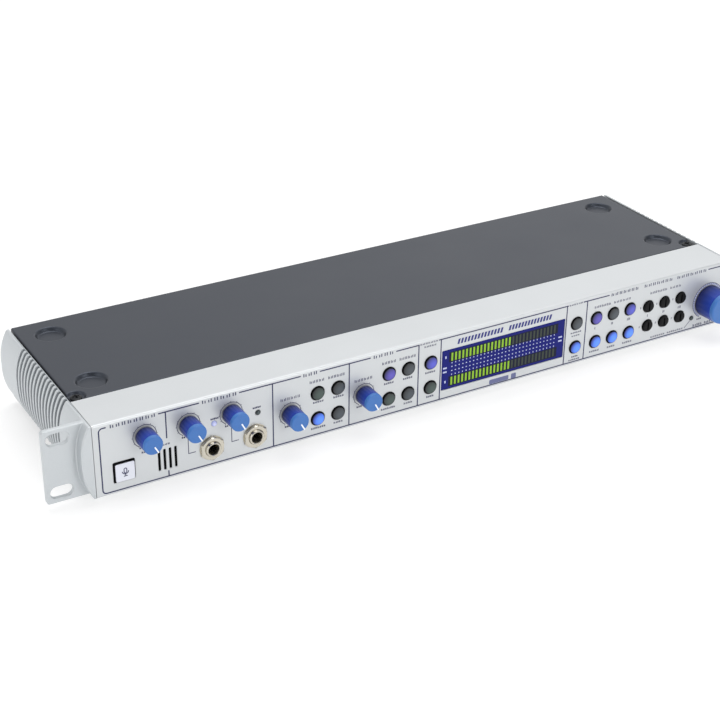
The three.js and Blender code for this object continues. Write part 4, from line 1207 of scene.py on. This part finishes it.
def tray():
    """The floor and two walls. Points on the floor run to the full depth, points on the walls stop short."""
    half, top = TRAY_HIGH[0], TRAY_HIGH[2]
    angle = np.radians(np.linspace(0, -90, 7))
    normal = np.column_stack([np.cos(angle), np.sin(angle)])
    bend = (half - TRAY_BEND, TRAY_BEND) + TRAY_BEND * normal
    right = np.concatenate([[(half, top)], bend, [(0, 0)]])
    out = np.concatenate([[(1, 0)], normal, [(0, -1)]])
    path = np.concatenate([right, right[-2::-1] * (-1, 1)])
    outward = np.concatenate([out, out[-2::-1] * (-1, 1)])
    ring = np.concatenate([path, (path - SHEET * outward)[::-1]])
    end = np.where(ring[:, 1] > TRAY_BEND - 0.1, TRAY_HIGH[1] - TRAY_WALL_GAP, TRAY_HIGH[1])
    y = TRAY_LOW[1] + np.array([0, 0.15, 0.5, 0.85, 1])[:, None] * (end - TRAY_LOW[1])
    return loft(np.stack(np.broadcast_arrays(ring[:, 0], y, ring[:, 1]), axis=-1))


def vent(x, y, length):
    """A cutter for a slot with round ends through the floor."""
    cutter = slab((0, 0), (VENT_WIDTH, length), VENT_WIDTH / 2, [(-0.9, -1), (0, 0.15), (0, 2)], 5)
    return facing("down", cutter, (x, y, 0))


vents = [vent(x, y, 22) for x in np.arange(136, 204, 6) for y in (57, 83)]
vents += [vent(x, 66, 26) for x in np.arange(-150, 60, 6)]
floor_sheet = combine("tray", tray(), stack(*vents))
piece("bottom_tray_folded", floor_sheet, charcoal, replaces=["bottom_tray"])
LEGS = [(x, y) for x in (-198, -60, 60, 125) for y in (40, 93)]
EDGES = [(x, y) for x in (-205, 205) for y in (30, 75, 118)] + [(x, 122.5) for x in (-120, 0, 120)]
FRONT_EDGE = [(x, 8.2) for x in (-190, -95, 0, 95, 190)]
UNDERSIDE = [(x, y, 0.01) for x, y in LEGS + EDGES + FRONT_EDGE]
piece("underside_screws", stack(*[facing("down", screw(2.6, 1.1), at) for at in UNDERSIDE]), black_screw)
bolt = turned([(3.0, -2.9), (hexagon(8.0), -2.5), (hexagon(8.0), -0.8), (7.4, -0.78), (7.4, 0)], (0, 0))
piece("transformer_bolt", facing("down", bolt, (*middle("power_transformer")[:2], 0.01)), steel)
print("tray:", len(floor_sheet.polygons), "faces,", len(vents), "vents")

# %% [markdown]
# The back is a steel plate behind the sockets. Like the face it is cut with flared tools, so every opening
# has a small chamfer. All of it is drawn as if it faced the front, with y = 0 on the plate, and turned
# round.

# %% Rear panel
REAR_FACE = CASE_DEPTH
REAR_SHEET = 1.5
rear_low, rear_high = span("rear_panel")
REAR_Z = 21.0


def back(shape):
    """Turns a shape that was drawn at its (x, z), facing the front with the plate at y = 0, to the back."""
    return facing("rear", shape, (0, REAR_FACE, 0))


def rear_hole(at, size, radius):
    """A cutter with a flared mouth."""
    return slab(at, size, radius, [(-1.2, -1), (0, 0.2), (0, REAR_SHEET + 1)])


INLET, SWITCH, REMOTE, TALK_OUT, DIGITAL, COAX_AT = [(middle(name)[0], REAR_Z) for name in (
    "mains_inlet", "power_switch_frame", "remote_connector", "talkback_output_socket", "optical_ports",
    "coaxial_sockets")]
COAX = [(COAX_AT[0] + dx, REAR_Z) for dx in (-7, 7)]
BANKS = {name: span(name) for name in ("line_jack_bank_1", "line_jack_bank_2")}
JACK_X = {name: np.linspace(low[0] + 7, high[0] - 7, 6) for name, (low, high) in BANKS.items()}
JACKS = [(x, REAR_Z) for row_x in JACK_X.values() for x in row_x]
openings = [rear_hole(at, size, radius) for at, size, radius in (
    (INLET, (28.6, 21.6), 1.5), (SWITCH, (17.6, 24.6), 1.0), (REMOTE, (18.4, 9.8), 1.5),
    (TALK_OUT, (23.6, 23.6), 11.79), (DIGITAL, (20.6, 29.6), 1.0))]
openings += [rear_hole(at, (9.6, 9.6), 4.79) for at in JACKS]
openings += [rear_hole(at, (9.0, 9.0), 4.49) for at in COAX]
plate = slab((0, (rear_low[2] + rear_high[2]) / 2), (2 * rear_high[0], rear_high[2] - rear_low[2]), 0.8,
             [(0.2, 0), (0, 0.2), (0, REAR_SHEET - 0.2), (0.2, REAR_SHEET)])
rear_mesh = combine("rear", back(plate), back(stack(*openings)))
piece("rear_panel_cut", rear_mesh, charcoal, replaces=["rear_panel"])
print("rear panel:", len(openings), "openings")
print("jack centres", {name: x.round(1) for name, x in JACK_X.items()})

# %% [markdown]
# Mains inlet, switch and remote socket. A moulded block is a stack of rounded rectangles, and its mouth is
# bored out of it. The rocker is its real side view carried across its width, drawn in a little at both
# ends, with the usual bar and ring for on and off.

# %% Mains, power switch and remote socket


def to_back(mesh):
    """Turns a finished mesh to the back, as `back` does a shape."""
    turned_round = (points_of(mesh) * (1, -1, 1) + (0, REAR_FACE, 0)) * MM + ORIGIN
    mesh.vertices.foreach_set("co", turned_round.ravel())
    mesh.flip_normals()
    return mesh


def moulded(at, flange, thick, body, depth):
    """A flange in front of the plate and a narrower body behind it, as one shape."""
    front = slab(at, flange, 1.5, [(0.6, -thick), (0.15, -thick + 0.15), (0, -thick + 0.5), (0, -0.02)])
    behind = slab(at, body, 0.6, [(0, -0.1), (0, depth - 0.4), (0.4, depth)])
    return combine("moulding", front, behind, "UNION")


def bored(name, at, flange, thick, body, depth, mouths):
    """A moulding with its mouths cut, carried to the back."""
    return to_back(combine(name, moulded(at, flange, thick, body, depth), stack(*mouths)))


def mouth(at, size, radius, front, depth):
    """A socket's opening: flared at its lip, then straight."""
    return slab(at, size, radius, [(-1.5, front - 1), (-0.4, front - 0.01), (0, front + 0.45), (0, depth)])


piece("mains_inlet_moulding", bored("inlet", INLET, (34, 27), 1.9, (28, 21), 24, [
    mouth(INLET, (24.6, 17), 3.2, -1.9, 15)]), black_plastic, replaces=["mains_inlet"])
blade_x, blade_z = np.array([-7, 7, 0.0]), np.array([-2, -2, 2.5])
blades = blocks(np.column_stack([INLET[0] + blade_x, np.full(3, 9.4), REAR_Z + blade_z]), (2.0, 12.4, 4.0))
piece("mains_inlet_blades", back(blades), nickel)

piece("power_switch_bezel", bored("bezel", SWITCH, (20, 27), 1.9, (17, 24), 16, [
    mouth(SWITCH, (14.4, 21.4), 0.6, -1.9, 13)]), black_plastic, replaces=["power_switch_frame"])


PIVOT = span("power_rocker")[0][1] + 3.0
ROCKER_HALF = 9.6


def rocker_face(z):
    """How far the rocker's face is from its pivot's plane: 3.2 at the middle, 4.9 at its foot and 2.1 at its
    top, following |z - middle| to the power of 1.2."""
    far = (np.abs(z - REAR_Z) / ROCKER_HALF) ** 1.2
    return 3.2 + np.where(z < REAR_Z, 1.7, -1.1) * far


def rocker():
    """The side view, from the pivot's plane out to the face, carried across and drawn in near both ends."""
    z = REAR_Z + np.linspace(-ROCKER_HALF, ROCKER_HALF, 25)
    inside = [(PIVOT, REAR_Z + 10), (PIVOT - 3, REAR_Z + 2), (PIVOT - 3, REAR_Z - 2), (PIVOT, REAR_Z - 10)]
    ring = np.concatenate([np.stack([PIVOT + rocker_face(z), z], axis=-1), inside])
    x = SWITCH[0] + np.array([-6.7, -6.55, -6.2, 6.2, 6.55, 6.7])
    inset = np.array([0.45, 0.15, 0, 0, 0.15, 0.45])[:, None]
    y = ring[:, 0] - inset * (ring[:, 0] > PIVOT + 1)
    return loft(np.stack(np.broadcast_arrays(x[:, None], y, ring[:, 1]), axis=-1))


def on_rocker(shape):
    """Lays a flat drawing on the rocker's face: y becomes the face's own y, plus what y was."""
    x, y, z = shape[0].T
    return np.column_stack([x, PIVOT + rocker_face(z) + 0.5 * y, z]), shape[1]


piece("power_rocker_paddle", rocker(), black_plastic, "power_rocker", ["power_rocker"])
on_bar = stroke([(SWITCH[0], 25.0), (SWITCH[0], 28.2)], 0.7)
off_ring = stroke(arc((SWITCH[0], 15.6), 1.6, 0, 345, 24), 0.6, closed=True)
piece("power_rocker_marks", on_rocker(stack(on_bar, off_ring)), white_ink, "power_rocker")

remote_flange = slab(REMOTE, (31, 12.5), 1.2, [(0.2, -1.3), (0, -1.1), (0, -0.02)])
remote_tube = combine("tube", slab(REMOTE, (17.4, 8.8), 2.2, [(0, -5.8), (0, 0.9)]),
                      slab(REMOTE, (16.2, 7.6), 1.8, [(0, -9), (0, 4)]))
piece("remote_flange", back(remote_flange), nickel, replaces=["remote_connector"])
piece("remote_shell", to_back(remote_tube), nickel)
piece("remote_insert", back(slab(REMOTE, (15.9, 7.3), 1.7, [(0.2, -4.6), (0, -4.4), (0, 7)])), black_plastic)
pin_x = np.concatenate([np.linspace(-5.5, 5.5, 5), np.linspace(-4.1, 4.1, 4)])
pin_z = np.repeat([1.4, -1.4], [5, 4])
CONTACT = [(0.25, -4.68), (0.55, -4.68), (0.55, -4.3)]
JACKSCREW = [(1.2, -4.9), (hexagon(4.8, 24), -4.9), (hexagon(4.8, 24), -1.3)]
piece("remote_contacts", back(stack(*[turned(CONTACT, (REMOTE[0] + x, REAR_Z + z), 12)
                                      for x, z in zip(pin_x, pin_z)])), gold)
piece("remote_jackscrews", back(stack(*[turned(JACKSCREW, (REMOTE[0] + x, REAR_Z), 24)
                                        for x in (-12.5, 12.5)])), steel)

# %% [markdown]
# The three-pin talkback output, the digital ports, the jacks and the coaxial pair. The jacks reuse the
# headphone sockets' nut and bushing, only turned to face the back.

# %% Audio sockets
BARREL, BORE = 11.4, 9.6
talk_plate = slab(TALK_OUT, (26, 31), 3.0, [(0.35, -2.1), (0, -1.75), (0, -0.02)])
talk_barrel = turned([(BARREL, -0.1), (BARREL, 20)], TALK_OUT, 64)
talk_bore = turned([(BORE + 2.4, -3.1), (BORE + 0.3, -2.09), (BORE, -1.7), (BORE, 16)], TALK_OUT, 64)
key_way = blocks((TALK_OUT[0], 3, REAR_Z + BORE), (2.6, 12, 2.2))
talk_mesh = combine("talk_solid", back(talk_plate), back(talk_barrel), "UNION")
talk_mesh = combine("talk_keyed", combine("talk", talk_mesh, back(talk_bore)), back(key_way))
piece("talkback_output_housing", talk_mesh, black_plastic, replaces=["talkback_output_socket"])
pin_angle = np.radians([150, 30, 270])
pins = [turned([(0.4, 3.4), (1.0, 3.6), (1.2, 4.2), (1.2, 16.2)], at, 20)
        for at in np.array(TALK_OUT) + 4.2 * np.column_stack([np.cos(pin_angle), np.sin(pin_angle)])]
piece("talkback_output_pins", back(stack(*pins)), gold)

PORTS = [(DIGITAL[0], REAR_Z + dz) for dz in (-7, 7)]
piece("optical_housing", bored("optical", DIGITAL, (26, 32), 1.9, (20, 29), 15, [
    mouth(at, (9.6, 9.6), 1.4, -1.9, 12) for at in PORTS]), black_plastic, replaces=["optical_ports"])
SHUTTER = [(2.4, -0.5), (1.9, -0.5), (1.6, -0.1), (0.4, -0.1), (0, 0.3), (0, 1.2)]
shutters = [slab(at, (9.2, 9.2), 1.2, SHUTTER) for at in PORTS]
rod, rod_faces = turned([(0.55, -4.5), (0.55, 4.5)], (0, 0), 16)
rods = [(rod[:, [1, 0, 2]] + (at[0], -0.35, at[1] + 4.0), rod_faces) for at in PORTS]
piece("optical_shutters", back(stack(*shutters, *rods)), shutter_grey)

for name, row_x in JACK_X.items():
    metal, springs_here, bodies, bores = [], [], [], []
    for x in row_x:
        at = (x, REAR_Z)
        metal += [nut(13.0, -2.1, -0.3, at, 4.5), bushing(-3.5, 3.0, at), washer(at, 7.4)]
        springs_here.append(springs(at))
        whole, bore = socket_body(at, 1.9, 23.5)
        bodies.append(whole)
        bores.append(bore)
    piece(f"{name}_nuts_and_bushings", back(stack(*metal)), nickel, replaces=[name])
    piece(f"{name}_bodies", combine(name, back(stack(*bodies)), back(stack(*bores))), black_plastic)
    piece(f"{name}_springs", back(stack(*springs_here)), gold)

coax_plate = slab(COAX_AT, (28, 14), 1.0, [(0.3, -1.5), (0, -1.2), (0, -0.02)])
piece("coaxial_plate", back(coax_plate), black_plastic, replaces=["coaxial_sockets"])
barrel = [(2.6, 2), (2.6, -7.7), (2.9, -8.0), (3.9, -8.0), (4.1, -7.7), (4.1, -2.6), (4.6, -2.5), (4.6, -1.4),
          (4.1, -1.4), (4.1, 2)]
piece("coaxial_barrels", back(stack(*[turned(barrel, at, 40, closed=True) for at in COAX])), gold)
for side, at in zip(("left", "right"), COAX):
    insulator = turned([(1.3, -5.5), (2.5, -5.5), (2.5, 1.5), (1.3, 1.5)], at, 32, closed=True)
    piece(f"coaxial_insulator_{side}", back(insulator), white_plastic)

# %% [markdown]
# The back's screws and its print. White lines box each group of sockets and short rows of strokes stand for
# captions. Screws go where the plate meets the tray and cover, and at the corners of the flanges.

# %% Rear screws and print
PLATE_SCREWS = [(x, z) for x in (-209.5, 209.5) for z in (7, 37)] + [(x, 38.5) for x in (-160, -58, 44, 137)]
FLANGE_SCREWS = [(TALK_OUT[0] + x, REAR_Z + z) for x, z in ((-9.8, 12.3), (9.8, -12.3))]
piece("rear_screws", back(stack(*[moved(screw(2.3, 1.0), x, -0.01, z) for x, z in PLATE_SCREWS])),
      black_screw)
piece("talkback_output_screws", back(stack(*[moved(screw(1.9, 0.7), x, -2.09, z) for x, z in FLANGE_SCREWS])),
      black_screw)


def box_line(x0, x1, z0, z1):
    """A rectangle with small round corners, as a closed line."""
    outline = rounded(x1 - x0, z1 - z0, 1.2, 5) + ((x0 + x1) / 2, (z0 + z1) / 2)
    return stroke(outline, 0.35, closed=True)


rear_printed = [box_line(row_x[0] - 9, row_x[-1] + 9, 9.6, 33.0) for row_x in JACK_X.values()]
rear_printed += [words(x - 5, x + 5, 30.9, 1.5, 6) for x, _ in JACKS]
rear_printed += [words(x - 3, x + 3, 11.6, 1.3, 4) for x, _ in JACKS]
rear_printed += [words(row_x.mean() - 12, row_x.mean() + 12, 36.0, 1.9, 10, 0.42)
                 for row_x in JACK_X.values()]
rear_printed += [words(x - half, x + half, z, 1.5, count) for (x, _), half, z, count in (
    (REMOTE, 7, 31.0, 7), (TALK_OUT, 9, 39.2, 8), (DIGITAL, 7, 39.2, 6), (COAX_AT, 9, 31.5, 8),
    (INLET, 10, 37.5, 9), (SWITCH, 5, 37.5, 4))]
rear_printed += [words(x - 3, x + 3, 11.6, 1.3, 3) for x, _ in COAX]
piece("rear_print", back(stack(*rear_printed)), white_ink)

# %% [markdown]
# The parts inside keep their CAD shapes and only need a finish: green boards, a copper-wound transformer
# and a steel microphone capsule. They show when the cover is taken off, and through the vents.

# %% Inner parts
INNER = {"main_board": board_green, "control_board": board_green, "meter_board": board_green,
         "power_transformer": copper, "talkback_microphone": steel}
for name, coat in INNER.items():
    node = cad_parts[name]
    node.data.materials.clear()
    node.data.materials.append(coat)
print("inner parts:", len(INNER))

# %% [markdown]
# A pale floor under the feet belongs to the stage and not to the unit.

# %% Floor
floor_mesh = bpy.data.meshes.new("floor")
floor_mesh.from_pydata([(-3, -3, 0), (3, -3, 0), (3, 3, 0), (-3, 3, 0)], [], [(0, 1, 2, 3)])
ground = bpy.data.objects.new("floor", floor_mesh)
bpy.context.scene.collection.objects.link(ground)
floor_mesh.materials.append(Paint("studio_floor", "floor", Roughness=0.9, Base_Color=(0.45, 0.45, 0.45, 1),
                                   Emission_Color=(1, 1, 1, 1), Emission_Strength=0.6).material)
